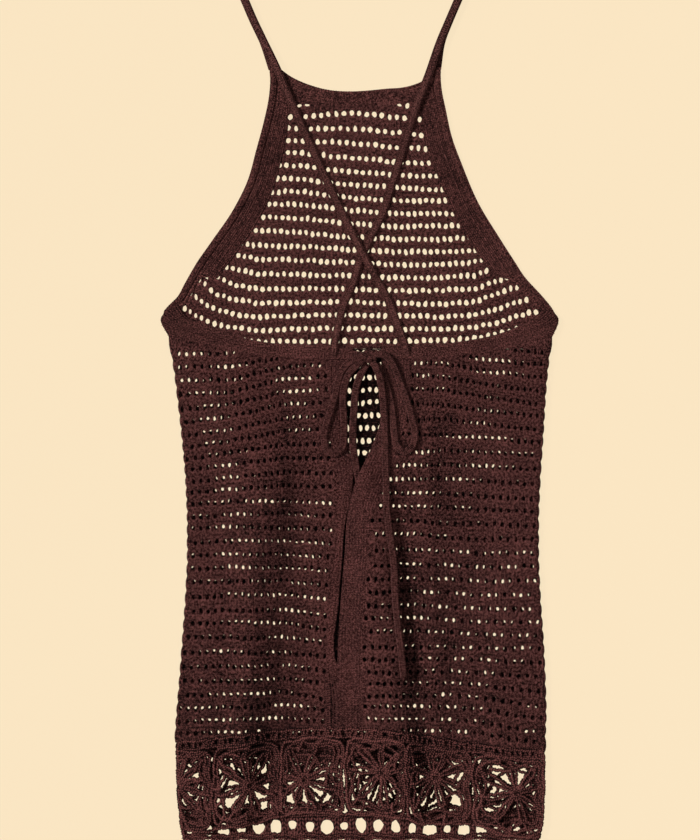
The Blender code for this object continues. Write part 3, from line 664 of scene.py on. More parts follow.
# the knot: the tube wrapped once round itself, as x, y and height of each wrap's middle line
KNOT_BODY = ((8.4, 502.6, 6.6), (8.4, 506, 7.6), (8.4, 510, 7.9), (8.4, 514.8, 6.8))
KNOT_WRAP = (
    (3.2, 503.5, 7.0), (3.0, 507, 9.2), (4.0, 510.5, 10.4), (6.5, 513.5, 9.6), (9.5, 514.5, 8.0),
)
KNOT_LAP = (
    (13.8, 503.8, 6.8), (13.9, 507.5, 8.4), (12.6, 511.0, 9.4), (9.8, 513.0, 8.8), (7.0, 513.2, 7.4),
)
KNOT_SIDES = 24
KNOT_RIB_DEPTH = 0.2
for k, (points, width, height, nodes) in enumerate((
        (KNOT_BODY, 4.6, 3.6, ["tie_knot"]), (KNOT_WRAP, 3.3, 2.2, []), (KNOT_LAP, 3.0, 2.0, []))):
    route = smooth_route(points, 0.8)
    swell = np.sin(np.linspace(0.12, 0.88, len(route)) * np.pi) ** 0.5
    wrap = swept_tube(f"tie_knot_{k}", route, width * swell, height * swell, tie_finish,
                      TIE_RIBS, KNOT_RIB_DEPTH, KNOT_SIDES)
    settle(wrap, "cord_knit", *nodes)

# ------------------------------------------------------------------------------- the straps
# Two narrow knit straps rise from the front's top corners, fold over beyond the photograph's
# edge and come back down to cross on the back. Columns of V stitches run along each of them.
STRAP_WIDTH = 9.0
STRAP_THICKNESS = 2.2
STRAP_WALE = 2.9              # width of a column of V stitches
STITCH_STEP = 2.3             # and the height of a stitch
STITCH_DEPTH = 0.15           # how far a stitch's legs sink into the cloth
STITCH_LEAN = 0.42
LEG_LENGTH = 1.45             # share of the stitch's height
LEG_RADIUS = (0.78, 0.26)     # at most, and as a share of the column's width
STRAP_LEFT_RISE = ((-92.2, 808.5), (-102, 838), (-112, 859), (-121, 880), (-144, 930.8))
STRAP_LEFT_FALL = (
    (-144, 930.8), (-121, 880), (-112, 859), (-102, 838), (-88, 809), (-74, 776), (-55, 734),
    (-37, 695), (-17, 653), (2, 615), (15, 592), (28, 568), (38, 542), (46, 519),
    (48, 508),
)
STRAP_RIGHT_RISE = ((79.3, 808.5), (84, 838), (92, 859), (101, 880), (123, 930.8))
STRAP_RIGHT_FALL = (
    (123, 930.8), (101, 880), (92, 859), (83, 838), (70, 801), (57, 768), (44, 726), (31, 684),
    (22, 657), (9, 631), (-2, 607), (-9, 583), (-18, 563), (-24, 539), (-28, 519),
    (-29, 508),
)
CROSSING = (7, 618, 34)       # x, y and radius of the hump of the upper strap
RIB_HEIGHT = 1.6
STRAP_PLAY = SEAM + 0.2
# y from which the strap climbs or sinks, and over how much height
ONTO_SIDE_BAND = (735.0, 40.0)
ONTO_RISING_STRAP = (812.0, 30.0)
ONTO_BACK = (548.0, 22.0)
INTO_TOP_BAND = (516.0, 8.0)
TURN_POINTS = 7               # round the fold at the strap's highest point
FACE_COLUMNS = 7


def draw_stitches():
    """A tree that lays one spindle-shaped leg of yarn on each guide point."""
    tree = bpy.data.node_groups.new("stitch_legs", "GeometryNodeTree")
    ports = {}
    for label, kind in (("Guide", "NodeSocketGeometry"), ("Leg Length", "NodeSocketFloat"),
                        ("Yarn Radius", "NodeSocketFloat"), ("Unevenness", "NodeSocketFloat"),
                        ("Finish", "NodeSocketMaterial")):
        ports[label] = tree.interface.new_socket(label, in_out="INPUT", socket_type=kind)
    tree.interface.new_socket("Stitches", in_out="OUTPUT", socket_type="NodeSocketGeometry")
    graph = Graph(tree)
    given = graph.node("NodeGroupInput")
    length, radius = given.other("Leg Length"), given.other("Yarn Radius")
    half = length * 0.5
    low = graph.node("ShaderNodeCombineXYZ", {}, {1: half * -1.0})
    high = graph.node("ShaderNodeCombineXYZ", {}, {1: half})
    line = graph.node("GeometryNodeCurvePrimitiveLine", {}, {"Start": low, "End": high})
    line = graph.node("GeometryNodeResampleCurve", {}, {"Curve": line, "Count": 3})
    share = graph.node("GeometryNodeSplineParameter")
    belly = (share * (math.pi * 0.84) + 0.25).sine()
    ring = graph.node("GeometryNodeCurvePrimitiveCircle", {}, {"Resolution": 4,
                                                               "Radius": radius})
    leg = graph.node("GeometryNodeCurveToMesh", {}, {"Curve": line, "Profile Curve": ring,
                                                     "Scale": belly, "Fill Caps": True})
    heading = graph.node("GeometryNodeInputNamedAttribute", {"data_type": "FLOAT_VECTOR"},
                         {"Name": "heading"})
    upright = graph.node("GeometryNodeInputNamedAttribute", {"data_type": "FLOAT_VECTOR"},
                         {"Name": "upright"})
    turn = graph.node("FunctionNodeAlignRotationToVector", {"axis": "Y"}, {"Vector": heading})
    turn = graph.node("FunctionNodeAlignRotationToVector", {"axis": "Z", "pivot_axis": "Y"},
                      {"Rotation": turn, "Vector": upright})
    uneven = given.other("Unevenness")
    size = graph.node("FunctionNodeRandomValue", {"data_type": "FLOAT"},
                      {2: 1.0 - uneven, 3: 1.0 + uneven, "Seed": 7}, 1)
    legs = graph.node("GeometryNodeInstanceOnPoints", {},
                      {"Points": given, "Instance": leg, "Rotation": turn, "Scale": size})
    whole = graph.node("GeometryNodeRealizeInstances", {}, {0: legs})
    whole = graph.node("GeometryNodeSetMaterial", {}, {0: whole, "Material": given.other("Finish")})
    graph.node("NodeGroupOutput", {}, {0: whole})
    return tree, ports


stitch_tree, stitch_ports = draw_stitches()


def lay_stitches(name, points, headings, uprights, finish, length, radius):
    """Stitch legs on guide points, as one plain mesh piece."""
    guide = bpy.data.meshes.new(name + "_guide")
    guide.from_pydata(in_frame(points).tolist(), [], [])
    for label, values in (("heading", headings), ("upright", uprights)):
        layer = guide.attributes.new(label, "FLOAT_VECTOR", "POINT")
        layer.data.foreach_set("vector", np.asarray(values, np.float32).ravel())
    holder = bpy.data.objects.new(name + "_guide", guide)
    bpy.context.scene.collection.objects.link(holder)
    modifier = holder.modifiers.new("stitches", "NODES")
    modifier.node_group = stitch_tree
    for label, value in (("Leg Length", length * MM), ("Yarn Radius", radius * MM),
                         ("Unevenness", 0.08), ("Finish", finish)):
        modifier[stitch_ports[label].identifier] = value
    bpy.context.view_layer.update()
    seen = holder.evaluated_get(bpy.context.evaluated_depsgraph_get())
    mesh = bpy.data.meshes.new_from_object(seen)
    mesh.name = name
    bpy.data.objects.remove(holder)
    piece = bpy.data.objects.new(name, mesh)
    bpy.context.scene.collection.objects.link(piece)
    return piece


def strap_underside(x, y, on_top):
    """Height of the strap above the surface on its way down, as the strap meets what it crosses."""
    over_band = CLOTH + RIB_HEIGHT + STRAP_PLAY + 0.1
    on_net = CLOTH + STRAP_PLAY
    start, run = ONTO_SIDE_BAND
    z = on_net + (over_band - on_net) * ease((y - start) / run)
    over_rise = STRAP_THICKNESS + STRAP_PLAY
    start, run = ONTO_RISING_STRAP
    z = z + (over_rise - z) * ease((y - start) / run)
    start, run = ONTO_BACK
    z = z + (BACK_LIFT + CLOTH + SEAM - z) * ease((start - y) / run)
    start, run = INTO_TOP_BAND
    z = z - STRAP_THICKNESS * ease((start - y) / run)
    if on_top:
        near = np.hypot(x - CROSSING[0], y - CROSSING[1]) / CROSSING[2]
        z = z + over_rise * ease(1.35 * (1.0 - near))
    return z


def cover_in_stitches(name, top, wale, course, finish):
    """V stitches over a surface whose first grid direction runs along the wales."""
    rows, columns = top.shape[:2]
    length = distance_along(top[:, columns // 2])
    widths = np.linalg.norm(np.diff(top, axis=1), axis=2).sum(axis=1)
    wales = max(int(round(widths.mean() / wale)), 1)
    places = np.arange(course / 2, length[-1] - course / 3, course)

    def at(place, share):
        """The surface's point at a length along the wales and a share of its width."""
        i = np.interp(place, length, np.arange(rows))
        j = share * (columns - 1)
        i0 = np.minimum(i.astype(int), rows - 2)
        j0 = np.minimum(j.astype(int), columns - 2)
        a, b = (i - i0)[:, None], (j - j0)[:, None]
        return ((top[i0, j0] * (1 - b) + top[i0, j0 + 1] * b) * (1 - a)
                + (top[i0 + 1, j0] * (1 - b) + top[i0 + 1, j0 + 1] * b) * a)

    guides, headings, uprights = [], [], []
    for k in range(wales):
        for side in (-1.0, 1.0):
            share = np.full(len(places), (k + 0.5 + side * 0.25) / wales)
            here = at(places, share)
            ahead = at(np.minimum(places + 0.8, length[-1]), share)
            behind = at(np.maximum(places - 0.8, 0.0), share)
            beside = at(places, np.minimum(share + 0.02, 1.0)) - at(places, share - 0.02)
            beside /= np.maximum(np.linalg.norm(beside, axis=1), 1e-6)[:, None]
            along = unit(ahead - behind)
            upright = np.cross(beside, along)
            upright *= np.sign(upright[:, 2])[:, None]
            guides.append(here - upright * STITCH_DEPTH)
            headings.append(unit(along + beside * side * STITCH_LEAN))
            uprights.append(upright)
    most, share_of_pitch = LEG_RADIUS
    return lay_stitches(name, np.vstack(guides), np.vstack(headings), np.vstack(uprights), finish,
                        course * LEG_LENGTH, min(most, widths.mean() / wales * share_of_pitch))


# the strap's core shows only between the stitch legs, so it is painted darker than the stitches, as painted shade
strap_core = knit_finish("strap_core", (0.006, 0.002, 0.0018), (0.12, 0.042, 0.037), 2.6, 2.25,
                         0.35)
strap_finish = knit_finish("strap_knit", (0.008, 0.0028, 0.0025), (0.230, 0.086, 0.076), grain=1.5)


# the strap's section: share of its half width and of its half thickness, round the band
STRAP_SECTION = np.array([
    (-1.0, -0.5), (-0.9, -1.0), (0.0, -1.0), (0.9, -1.0), (1.0, -0.5), (1.0, 0.2),
    (0.86, 0.72), (0.45, 0.86), (0.0, 0.8), (-0.45, 0.86), (-0.86, 0.72), (-1.0, 0.2),
])


def make_strap(name, rise, fall, on_top):
    """A strap: up from the front's corner, round its turn and down over the back."""
    up = smooth_route(rise, 4.0)
    down = smooth_route(fall, 3.0)
    half = STRAP_THICKNESS / 2
    up = np.column_stack([up, np.full(len(up), half)])
    down = np.column_stack([down, strap_underside(down[:, 0], down[:, 1], on_top) + half])
    turn = (up[-1] - up[-2]) / np.linalg.norm(up[-1] - up[-2])
    radius = (down[0, 2] - half) / 2
    angle = np.arange(1, TURN_POINTS + 1) / (TURN_POINTS + 1)
    angle = (-math.pi / 2 + math.pi * angle)[:, None]
    tip = up[-1] + turn * radius * np.cos(angle)
    tip[:, 2] = half + radius + radius * np.sin(angle[:, 0])
    route = np.vstack([up, tip, down])
    turned_over = len(up) + TURN_POINTS
    along = np.gradient(route, axis=0)
    side = np.column_stack([along[:, 1], -along[:, 0], np.zeros(len(route))])
    # the band keeps its direction round the turn, and faces the other way after it
    side[len(up) - 1:turned_over + 2] = (turn[1], -turn[0], 0.0)
    side[turned_over + 2:] *= -1.0
    side = unit(side)
    normal = np.cross(side, unit(along))
    wide, thick = STRAP_WIDTH / 2 - 0.3, half - 0.1
    points = ring_points(route, side, normal, (STRAP_SECTION[:, 0] * wide)[None, :],
                         (STRAP_SECTION[:, 1] * thick)[None, :])
    sides = len(STRAP_SECTION)
    uv = np.empty((len(route), sides, 2))
    uv[:, :, 0] = (STRAP_SECTION[:, 0] + 1.0) * STRAP_WIDTH / 2
    uv[:, :, 1] = distance_along(route)[:, None]
    band = show_piece(name, points.reshape(-1, 3), tube_faces(len(route), sides, turned=True),
                      strap_core, uv.reshape(-1, 2))
    settle(band, "strap_knit", name)

    # the stitched face starts where the band has turned over
    seen = route[turned_over:]
    face = np.empty((len(seen), FACE_COLUMNS, 3))
    for column, share in enumerate(np.linspace(-1.0, 1.0, FACE_COLUMNS)):
        drop = 0.9 * abs(share) ** 3
        face[:, column] = (seen + side[turned_over:] * share * (wide - 0.1)
                           + np.array([0.0, 0.0, half - 0.05 - drop]))
    stitches = cover_in_stitches(name + "_stitches", face, STRAP_WALE, STITCH_STEP, strap_finish)
    settle(stitches, "strap_knit")


make_strap("strap_left", STRAP_LEFT_RISE, STRAP_LEFT_FALL, True)
make_strap("strap_right", STRAP_RIGHT_RISE, STRAP_RIGHT_FALL, False)

# ------------------------------------------------------------------ the front's knit bands
# Dense knit bands edge the halter: one on each slanted armhole with its outer edge rolled into
# a rib, and one along the neckline. They are knit on, so the openwork runs under their edges.
BAND_STEPS = 110              # points along a band
RIB_WIDTH = 7.0
NARROW_RIB = 0.6              # share of a narrow band's width that its rib may take
RIB_STARTS = (560.0, 578.0)   # y between which the edge begins to roll
RIB_CREST = 1.35              # heights over the band: the rolled rib and the waves of its wales
RIB_WAVE = 0.18
BAND_WAVE = 0.20
FLAT_WAVE = 0.15              # where the edge isn't rolled yet
BAND_SWELL = 0.32
GROOVE_DEPTH = 0.55           # of the groove beside the rib
GROOVE_PLACE = 0.7
RIB_RINGS = 13                # rows of points over the rolled rib
FLAT_RINGS = 22               # and over the rest of the band
BAND_WALE = 2.9
BAND_COURSE = 2.4
NECK_SHARE = 21.0 / 24.0      # the neck band meets the side bands this far up the armholes
# x, y, band width
ARMHOLE_LEFT = (
    (-206, 548, 9), (-205, 556, 9), (-199, 563, 9), (-191, 571, 10.5), (-183.3, 585, 11),
    (-176, 598, 12), (-172.5, 604, 27), (-156, 628, 28), (-134, 660, 28), (-118, 692, 28),
    (-109, 724, 28), (-101, 754, 26), (-96, 778, 19), (-94.5, 797, 11), (-95.5, 811, 9),
)
ARMHOLE_RIGHT = (
    (203, 546, 9), (202, 553, 9), (198, 560, 9), (190, 570, 10.5), (168, 595, 11.5),
    (161, 606, 26), (145, 631, 28), (121, 671, 28), (105, 709, 28), (95, 736, 28),
    (88, 767, 26), (84, 787, 18), (83, 798, 12), (83, 810, 8),
)
NECKLINE = (
    (-83, 808), (-72, 800), (-54, 792), (-36, 787), (-11, 785), (8, 786), (28, 788),
    (42, 789), (55, 792), (66, 797), (75, 808),
)
NECK_BAND_LOWER = ((-60, 772), (-36, 770), (-11, 769), (8, 769), (28, 770), (50, 773))

band_finish = knit_finish("band_knit", (0.006, 0.0020, 0.0018), (0.210, 0.073, 0.065), grain=1.5)
# the bands' core shows only between the stitch legs, so it is painted darker than the stitches, as painted shade
band_core = knit_finish("band_core", (0.003, 0.001, 0.0009), (0.09, 0.031, 0.028), BAND_WALE,
                        BAND_COURSE, 0.5)


def lay_sheet(name, top, thickness, finish, uv):
    """A closed wall hanging under a grid of surface points."""
    rows, columns = top.shape[:2]
    low = top - (0.0, 0.0, thickness)
    points = np.vstack([top.reshape(-1, 3), low.reshape(-1, 3)])
    index = np.arange(rows * columns).reshape(rows, columns)
    a, b = index[:-1, :-1].ravel(), index[:-1, 1:].ravel()
    c, d = index[1:, 1:].ravel(), index[1:, :-1].ravel()
    ring = np.concatenate([index[0, :-1], index[:-1, -1], index[-1, :0:-1], index[:0:-1, 0]])
    after = np.roll(ring, -1)
    under = rows * columns
    faces = np.vstack([np.column_stack([a, b, c, d]),
                       np.column_stack([d, c, b, a]) + under,
                       np.column_stack([after, ring, ring + under, after + under])])
    step_a, step_b = top[0, 1] - top[0, 0], top[1, 0] - top[0, 0]
    if step_a[0] * step_b[1] - step_a[1] * step_b[0] < 0:
        faces = faces[:, ::-1]
    uv = uv.reshape(-1, 2)
    return show_piece(name, points, faces, finish, np.vstack([uv, uv]))


def lay_out(piece, grid, rests_on=(), with_pieces=()):
    """Declares a band as cloth, cut to the size of the grid that it was laid out on."""
    width = np.linalg.norm(np.diff(grid, axis=1), axis=2).sum(axis=1)
    length = np.linalg.norm(np.diff(grid, axis=0), axis=2).sum(axis=0)
    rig.sheet(piece, flat=(width.max() * MM, length.max() * MM), held="laid", rests_on=rests_on,
             area=width.mean() * length.mean() * MM * MM, with_pieces=with_pieces)


def evenly(points, count):
    """A smooth curve through the points, as count points that are evenly apart."""
    route = smooth_route(points, 1.0)
    length = distance_along(route)
    wanted = np.linspace(0.0, length[-1], count)
    return np.column_stack([np.interp(wanted, length, route[:, c])
                            for c in range(route.shape[1])])


def side_band(name, armhole, side):
    """The rolled armhole band and its stitches. Gives back its inner edge."""
    outer = evenly([(x, y) for x, y, width in armhole], BAND_STEPS)
    width = read_across(armhole, outer[:, 1], 2, 1)
    along = unit(np.gradient(outer, axis=0))
    inward = np.column_stack([along[:, 1], -along[:, 0]]) * side
    rolled = ease((outer[:, 1] - RIB_STARTS[0]) / (RIB_STARTS[1] - RIB_STARTS[0]))[:, None]
    rib = np.minimum(RIB_WIDTH, NARROW_RIB * width)[:, None]
    beyond = rib * 1.08
    away = np.hstack([
        np.linspace(0.0, 1.0, RIB_RINGS)[None, :] * beyond,
        beyond + np.linspace(0.03, 1.0, FLAT_RINGS)[None, :] * (width[:, None] - beyond)])
    turn = np.clip(away / rib, 0.0, 1.0)
    roll = RIB_CREST * np.sin(np.pi * np.clip(turn * 0.93 + 0.03, 0, 1)) ** 0.6
    roll = roll + RIB_WAVE * np.cos(turn * np.pi * 4.0)
    groove = -GROOVE_DEPTH * np.exp(-(away - rib - GROOVE_PLACE) ** 2)
    wave = BAND_WAVE * np.cos(2.0 * np.pi * (away - rib) / BAND_WALE)
    height = CLOTH + BAND_SWELL + rolled * np.where(away < rib, roll, groove + wave)
    height = height + (1.0 - rolled) * FLAT_WAVE * np.cos(2.0 * np.pi * away / BAND_WALE)
    top = np.empty(away.shape + (3,))
    top[:, :, :2] = outer[:, None, :] + inward[:, None, :] * away[:, :, None]
    top[:, :, 2] = height
    uv = np.empty(away.shape + (2,))
    uv[:, :, 0] = away
    uv[:, :, 1] = distance_along(outer)[:, None]
    band = settle(lay_sheet(name, top, CLOTH, band_core, uv), "band_knit", name)
    stitches = cover_in_stitches(name + "_stitches", top, BAND_WALE, BAND_COURSE, band_finish)
    lay_out(band, top, with_pieces=[settle(stitches, "band_knit")])
    return top[:, -1, :2]


inner_left = side_band("front_side_band_left", ARMHOLE_LEFT, 1.0)
inner_right = side_band("front_side_band_right", ARMHOLE_RIGHT, -1.0)


def stretched(bottom, top, left, right):
    """A grid of points stretched between four edges."""
    t = np.linspace(0.0, 1.0, len(left))[:, None, None]
    s = np.linspace(0.0, 1.0, len(bottom))[None, :, None]
    sides = left[:, None, :] * (1 - s) + right[:, None, :] * s
    levels = bottom[None, :, :] * (1 - t) + top[None, :, :] * t
    corners = ((bottom[0] * (1 - s) + bottom[-1] * s) * (1 - t)
               + (top[0] * (1 - s) + top[-1] * s) * t)
    return sides + levels - corners


def knit_band(name, grid, surface, finish, wale=BAND_WALE, swell=0.25, relief=0.2,
              across_rows=True):
    """A dense band and its stitches, laid on a surface with its wales along its length. Its
    finish is the core's, then the stitches'. The length runs across the grid's rows or down them."""
    if not across_rows:
        grid = grid.transpose(1, 0, 2)
    length = distance_along(grid[len(grid) // 2])
    edge = distance_along(grid[:, grid.shape[1] // 2])
    away, place = np.broadcast_arrays(edge[:, None], length[None, :])
    rounded = np.minimum(away, edge[-1] - away)
    lift = swell + relief * np.cos(2.0 * np.pi * away / wale) - 0.5 * np.exp(-(rounded / 0.8) ** 2)
    height = surface(grid[:, :, 0], grid[:, :, 1]) + CLOTH + lift
    top, uv = np.dstack([grid, height]), np.dstack([away, place])
    along_wales = top.transpose(1, 0, 2)
    if not across_rows:
        top, uv = along_wales, uv.transpose(1, 0, 2)
    sheet = lay_sheet(name, top, CLOTH, finish[0], uv)
    stitches = cover_in_stitches(name + "_stitches", along_wales, wale, BAND_COURSE, finish[1])
    return sheet, stitches


def flat_front(x, y):
    """Underside of the front, which lies flat on the surface."""
    return np.zeros(np.broadcast(x, y).shape)


foot = int(NECK_SHARE * (len(inner_left) - 1))
neck_left = evenly(inner_left[foot:] - (1.4, 0.0), 31)
neck_right = evenly(inner_right[foot:] + (1.4, 0.0), 31)
neck_upper = evenly([tuple(neck_left[-1])] + list(NECKLINE[1:-1]) + [tuple(neck_right[-1])], 90)
neck_lower = evenly([tuple(neck_left[0])] + list(NECK_BAND_LOWER) + [tuple(neck_right[0])], 90)
grid = stretched(neck_lower, neck_upper, neck_left, neck_right)
sheet, stitches = knit_band("front_neck_band", grid, flat_front, (band_core, band_finish),
                            swell=0.12, relief=0.16)
settle(sheet, "band_knit", "front_neck_band")
lay_out(sheet, grid, with_pieces=[settle(stitches, "band_knit")])

# ------------------------------------------------------------------------ the openwork front
# One piece of cotton openwork: rows of oval eyelets with dense knit between them, staggered
# from row to row. It runs from the border to the neck band and lies flat on the surface. It is
# shown as two meshes, the body and the halter, which meet out of sight behind the back.
NET_PITCH = 7.0
ROW_PITCH = 13.5
CELL = 4                      # points of a line to one eyelet
HALTER_CELLS = 56
BODY_CELLS = 55
HALTER_FLOOR = 517.0          # y where the halter's mesh meets the body's
FRONT_FOOT = 94.0             # and where the body's ends under the border
SMALLEST_CELL = 0.35          # a smaller one closes up
NARROWEST_EYELET = 0.62       # share of the pitch; a narrower cell is plain knit
LEAST_ROOM = 2.4              # from an eyelet's middle to the knit over and under it
LEAST_YARN = 1.2              # over and under an eyelet
COLLAR_WIDTH = 1.15
COLLAR_SHARE = 0.52           # of the room beside the eyelet, at most
# y, left x, right x
SIDE_EDGES = (
    (3, -186, 186), (25, -189, 190), (58, -192, 192), (89, -193, 192), (112, -193, 191),
    (140, -191, 192), (175, -188, 191), (215, -185, 189), (256, -182, 186), (295, -180, 184),
    (345, -180, 184), (387, -182, 186), (430, -186, 189), (465, -190, 191), (490, -193, 193),
    (515, -197, 196), (530, -200, 199), (543, -206, 203), (551, -207, 204), (560, -201, 200),
    (566, -193, 194),
)
# the photograph's rows of eyelets, from the neck down to the border, each at these columns
FRONT_COLUMNS = (225, 360, 485)
HALTER_COLUMNS = (185, 200, 215, 235, 260, 300, 350, 400, 440, 475, 500, 530)
HALTER_ROWS = (
    (104, 104, 104, 104, 104, 105, 102, 104.8, 108, 109, 109, 109),
    (115, 115, 115, 115, 116, 116.3, 112.1, 117.5, 121.5, 123, 123, 123),
    (127, 127, 127, 127, 127, 128.3, 128.3, 132.5, 136.5, 138, 138, 138),
    (139, 139, 139, 139, 139.5, 140.3, 142.7, 147.2, 149.5, 151, 151, 151),
    (152, 152, 152, 152, 152, 152.8, 157.7, 161.8, 164, 165, 165, 165),
    (165, 165, 165, 165, 165.5, 165.6, 171.2, 175, 176.3, 177, 177, 177),
    (177, 177, 177, 177, 177.7, 179, 184.5, 187.5, 189.7, 191, 191, 191),
    (191, 191, 191, 191, 192, 191, 197.7, 200.2, 200.6, 201, 201, 201),
    (203, 203, 203, 203, 203.7, 204, 210, 213.3, 213.2, 213.8, 213, 213),
    (215, 215, 215, 216, 216.7, 218, 223.5, 226.3, 225.8, 225.6, 225, 225),
    (227, 227, 228, 229.5, 230.5, 232.3, 236.8, 238.8, 239, 237, 236, 235),
    (237, 238, 240, 242.5, 245.2, 246.2, 249.6, 251.6, 251.7, 250, 247, 243),
    (245, 247, 250, 254.5, 259.3, 260, 262.3, 264.8, 264.6, 261.5, 257, 250),
    (254, 258, 263, 269.5, 273.8, 274, 276, 277.7, 277, 275, 266, 258),
    (262, 268, 275.5, 285, 289, 288.2, 289, 290.5, 290.3, 288.5, 280, 270),
    (270, 280, 293.6, 299.2, 303.2, 302, 301.7, 303.2, 303.9, 302, 292, 284),
    (288, 301, 309, 314, 317, 315.3, 314.5, 316, 316.6, 314.8, 308, 298),
    (308, 318, 323.5, 328, 330, 329, 328, 329, 328.7, 327, 321.8, 312.5),
    (319, 330, 336, 340, 341.5, 341.5, 341, 341, 340.3, 338.2, 333.3, 325),
)
# the spacing of the eyelets in the halter: row of the photograph, millimetres
HALTER_PITCH = (
    (115, 8.0), (128, 7.7), (147, 7.5), (160, 7.35), (173, 7.05), (186, 6.8), (200, 6.6),
    (231, 6.5), (258, 6.66), (274, 6.8), (288, 6.95), (302, 7.0), (315, 7.3), (341, 7.5),
)
# dense knit without eyelets at the middle of the neck: left and right column, top and bottom row
PLAIN_NECK = (327, 386, 95, 108)
BODY_ROWS = (
    (354, 353, 348), (367, 366, 360), (380, 378, 372.7), (392, 390, 384.5), (404.5, 403, 397),
    (418, 416, 410), (430, 428, 423), (441, 441, 437), (453, 453, 451), (465, 465.5, 465),
    (477, 479, 478.5), (489, 492, 492), (500.5, 505, 506.5), (514, 519, 520),
    (526.5, 532, 535), (539.5, 546, 552), (553, 560, 567), (566, 574, 581.5),
    (579, 588, 595), (592.5, 601, 609), (606, 615, 621.5), (620, 628, 635), (634, 641, 648),
    (650, 653, 660), (665, 665, 672), (679, 678, 684), (693.5, 691, 696), (707, 704, 708),
    (719.5, 717, 720), (732, 730, 732),
)
# directions round an eyelet, as its cell's outline is run through
ROUND_EYELET = np.radians([-135, -112, -90, -68, -45, -18, 18, 45, 68, 90, 112, 135, 162, 198])
CORNERS = len(ROUND_EYELET)
# the collar's lower side stands up and catches the light, and is painted lighter there as a painted highlight; the
# sunk eye is painted dark as painted shade
LOWER_SIDE = np.sin(ROUND_EYELET) < -0.3
COLLAR_HEIGHT = np.where(LOWER_SIDE, 0.50, 0.34)
COLLAR_PAINTED_LIGHT = np.where(LOWER_SIDE, 0.92, 0.66)
EYE_HEIGHT = np.full(CORNERS, -0.35)
EYE_PAINTED_SHADE = np.full(CORNERS, 0.22)


def row_line(heights, columns):
    """A row of eyelets as a height over the dress's width, from the photograph's rows."""
    x = [across(column) for column in columns]
    y = [upward(height) for height in heights]
    return lambda place: np.interp(place, x, y)


class Net:
    """Openwork knit while it is laid out: its points, their place in the knit, its patches."""

    def __init__(self):
        self.points, self.maps, self.tones = [], [], []
        self.faces, self.floors = [], []

    def add(self, x, y, eyelets, rows, height, tone):
        """A point, and how many eyelets across and rows up it lies in the knit."""
        self.points.append((x, y, height))
        self.maps.append((eyelets * NET_PITCH, rows * ROW_PITCH))
        self.tones.append(tone)
        return len(self.points) - 1

    def add_line(self, line, rows, height, tone):
        return [self.add(x, y, c / CELL, rows, height, tone) for c, (x, y) in enumerate(line)]

    def add_loop(self, loop, ring, place, rows, heights, tones):
        """A loop round an eyelet, placed in the knit by where it lies in its cell's ring."""
        (x0, y0), (x1, y1) = ring.min(axis=0), ring.max(axis=0)
        return [self.add(x, y, (place + CELL * (x - x0) / max(x1 - x0, 0.1)) / CELL,
                         rows + (y - y0) / max(y1 - y0, 0.1), height, tone)
                for (x, y), height, tone in zip(loop, heights, tones)]

    def patch(self, corners):
        """A patch of cloth and its underside."""
        self.faces.append(tuple(corners))
        self.floors.append(tuple(reversed(corners)))

    def eyelet(self, loops):
        """Cloth between the loops, from a cell's outline in to the open eye."""
        outline, eye = loops[0], loops[-1]
        for i in range(CORNERS):
            j = (i + 1) % CORNERS
            for outer, inner in zip(loops, loops[1:]):
                self.faces.append((outer[i], outer[j], inner[j], inner[i]))
            self.floors.append((outline[j], outline[i], eye[i], eye[j]))


def halfway(low, high):
    return lambda x: (low(x) + high(x)) / 2


def net_lines(rows, left, right, floor_line, ceiling_line, count, crowd, chance):
    """The lines of knit under, between and over the rows of eyelets, each a little uneven."""
    share = np.linspace(0.0, 1.0, count)
    between = [halfway(low, high) for low, high in zip(rows, rows[1:])]
    lines = []
    for height in [floor_line, *between, ceiling_line]:
        x = left(0.0) + (right(0.0) - left(0.0)) * share
        # the sides depend on the height, and the height on the place, so it is found in rounds
        for attempt in range(4):
            y = height(x)
            packed = share if crowd is None else crowd(share, y)
            x = left(y) + (right(y) - left(y)) * packed
        jitter = np.array([(chance.uniform(-0.3, 0.3), chance.uniform(-0.35, 0.35))
                           for c in range(count)])
        jitter[0] = jitter[-1] = 0.0
        lines.append(np.column_stack([x, height(x)]) + jitter)
    return lines


def shape_eyelet(ring, centre, half_wide, half_tall, chance):
    """An uneven oval eye in a cell's ring, and the collar of yarn round it."""
    tilt = math.radians(chance.uniform(-16, 16))
    pear = chance.uniform(-0.28, 0.22)
    c, s = np.cos(ROUND_EYELET), np.sin(ROUND_EYELET)
    oval = np.column_stack([half_wide * c * (1.0 + pear * s), half_tall * s])
    oval *= np.array([chance.uniform(0.90, 1.10) for corner in range(CORNERS)])[:, None]
    turned = np.array([[math.cos(tilt), math.sin(tilt)], [-math.sin(tilt), math.cos(tilt)]])
    eye = centre + oval @ turned
    gap = ring - eye
    room = np.maximum(np.linalg.norm(gap, axis=1), 0.01)
    collar = eye + gap * np.minimum(COLLAR_SHARE, COLLAR_WIDTH / room)[:, None]
    return collar, eye


def in_box(box, x, y):
    """Whether a place lies in a box of the photograph: its columns, then its rows."""
    left, right, high, low = box
    return across(left) < x < across(right) and upward(low) < y < upward(high)


def give_tones(piece, tones):
    """Each point's own tone, partly random and partly painted light and shade, which knit_finish reads."""
    layer = piece.data.attributes.new("lift", "FLOAT", "POINT")
    layer.data.foreach_set("value", tones.astype(np.float32))
    return piece


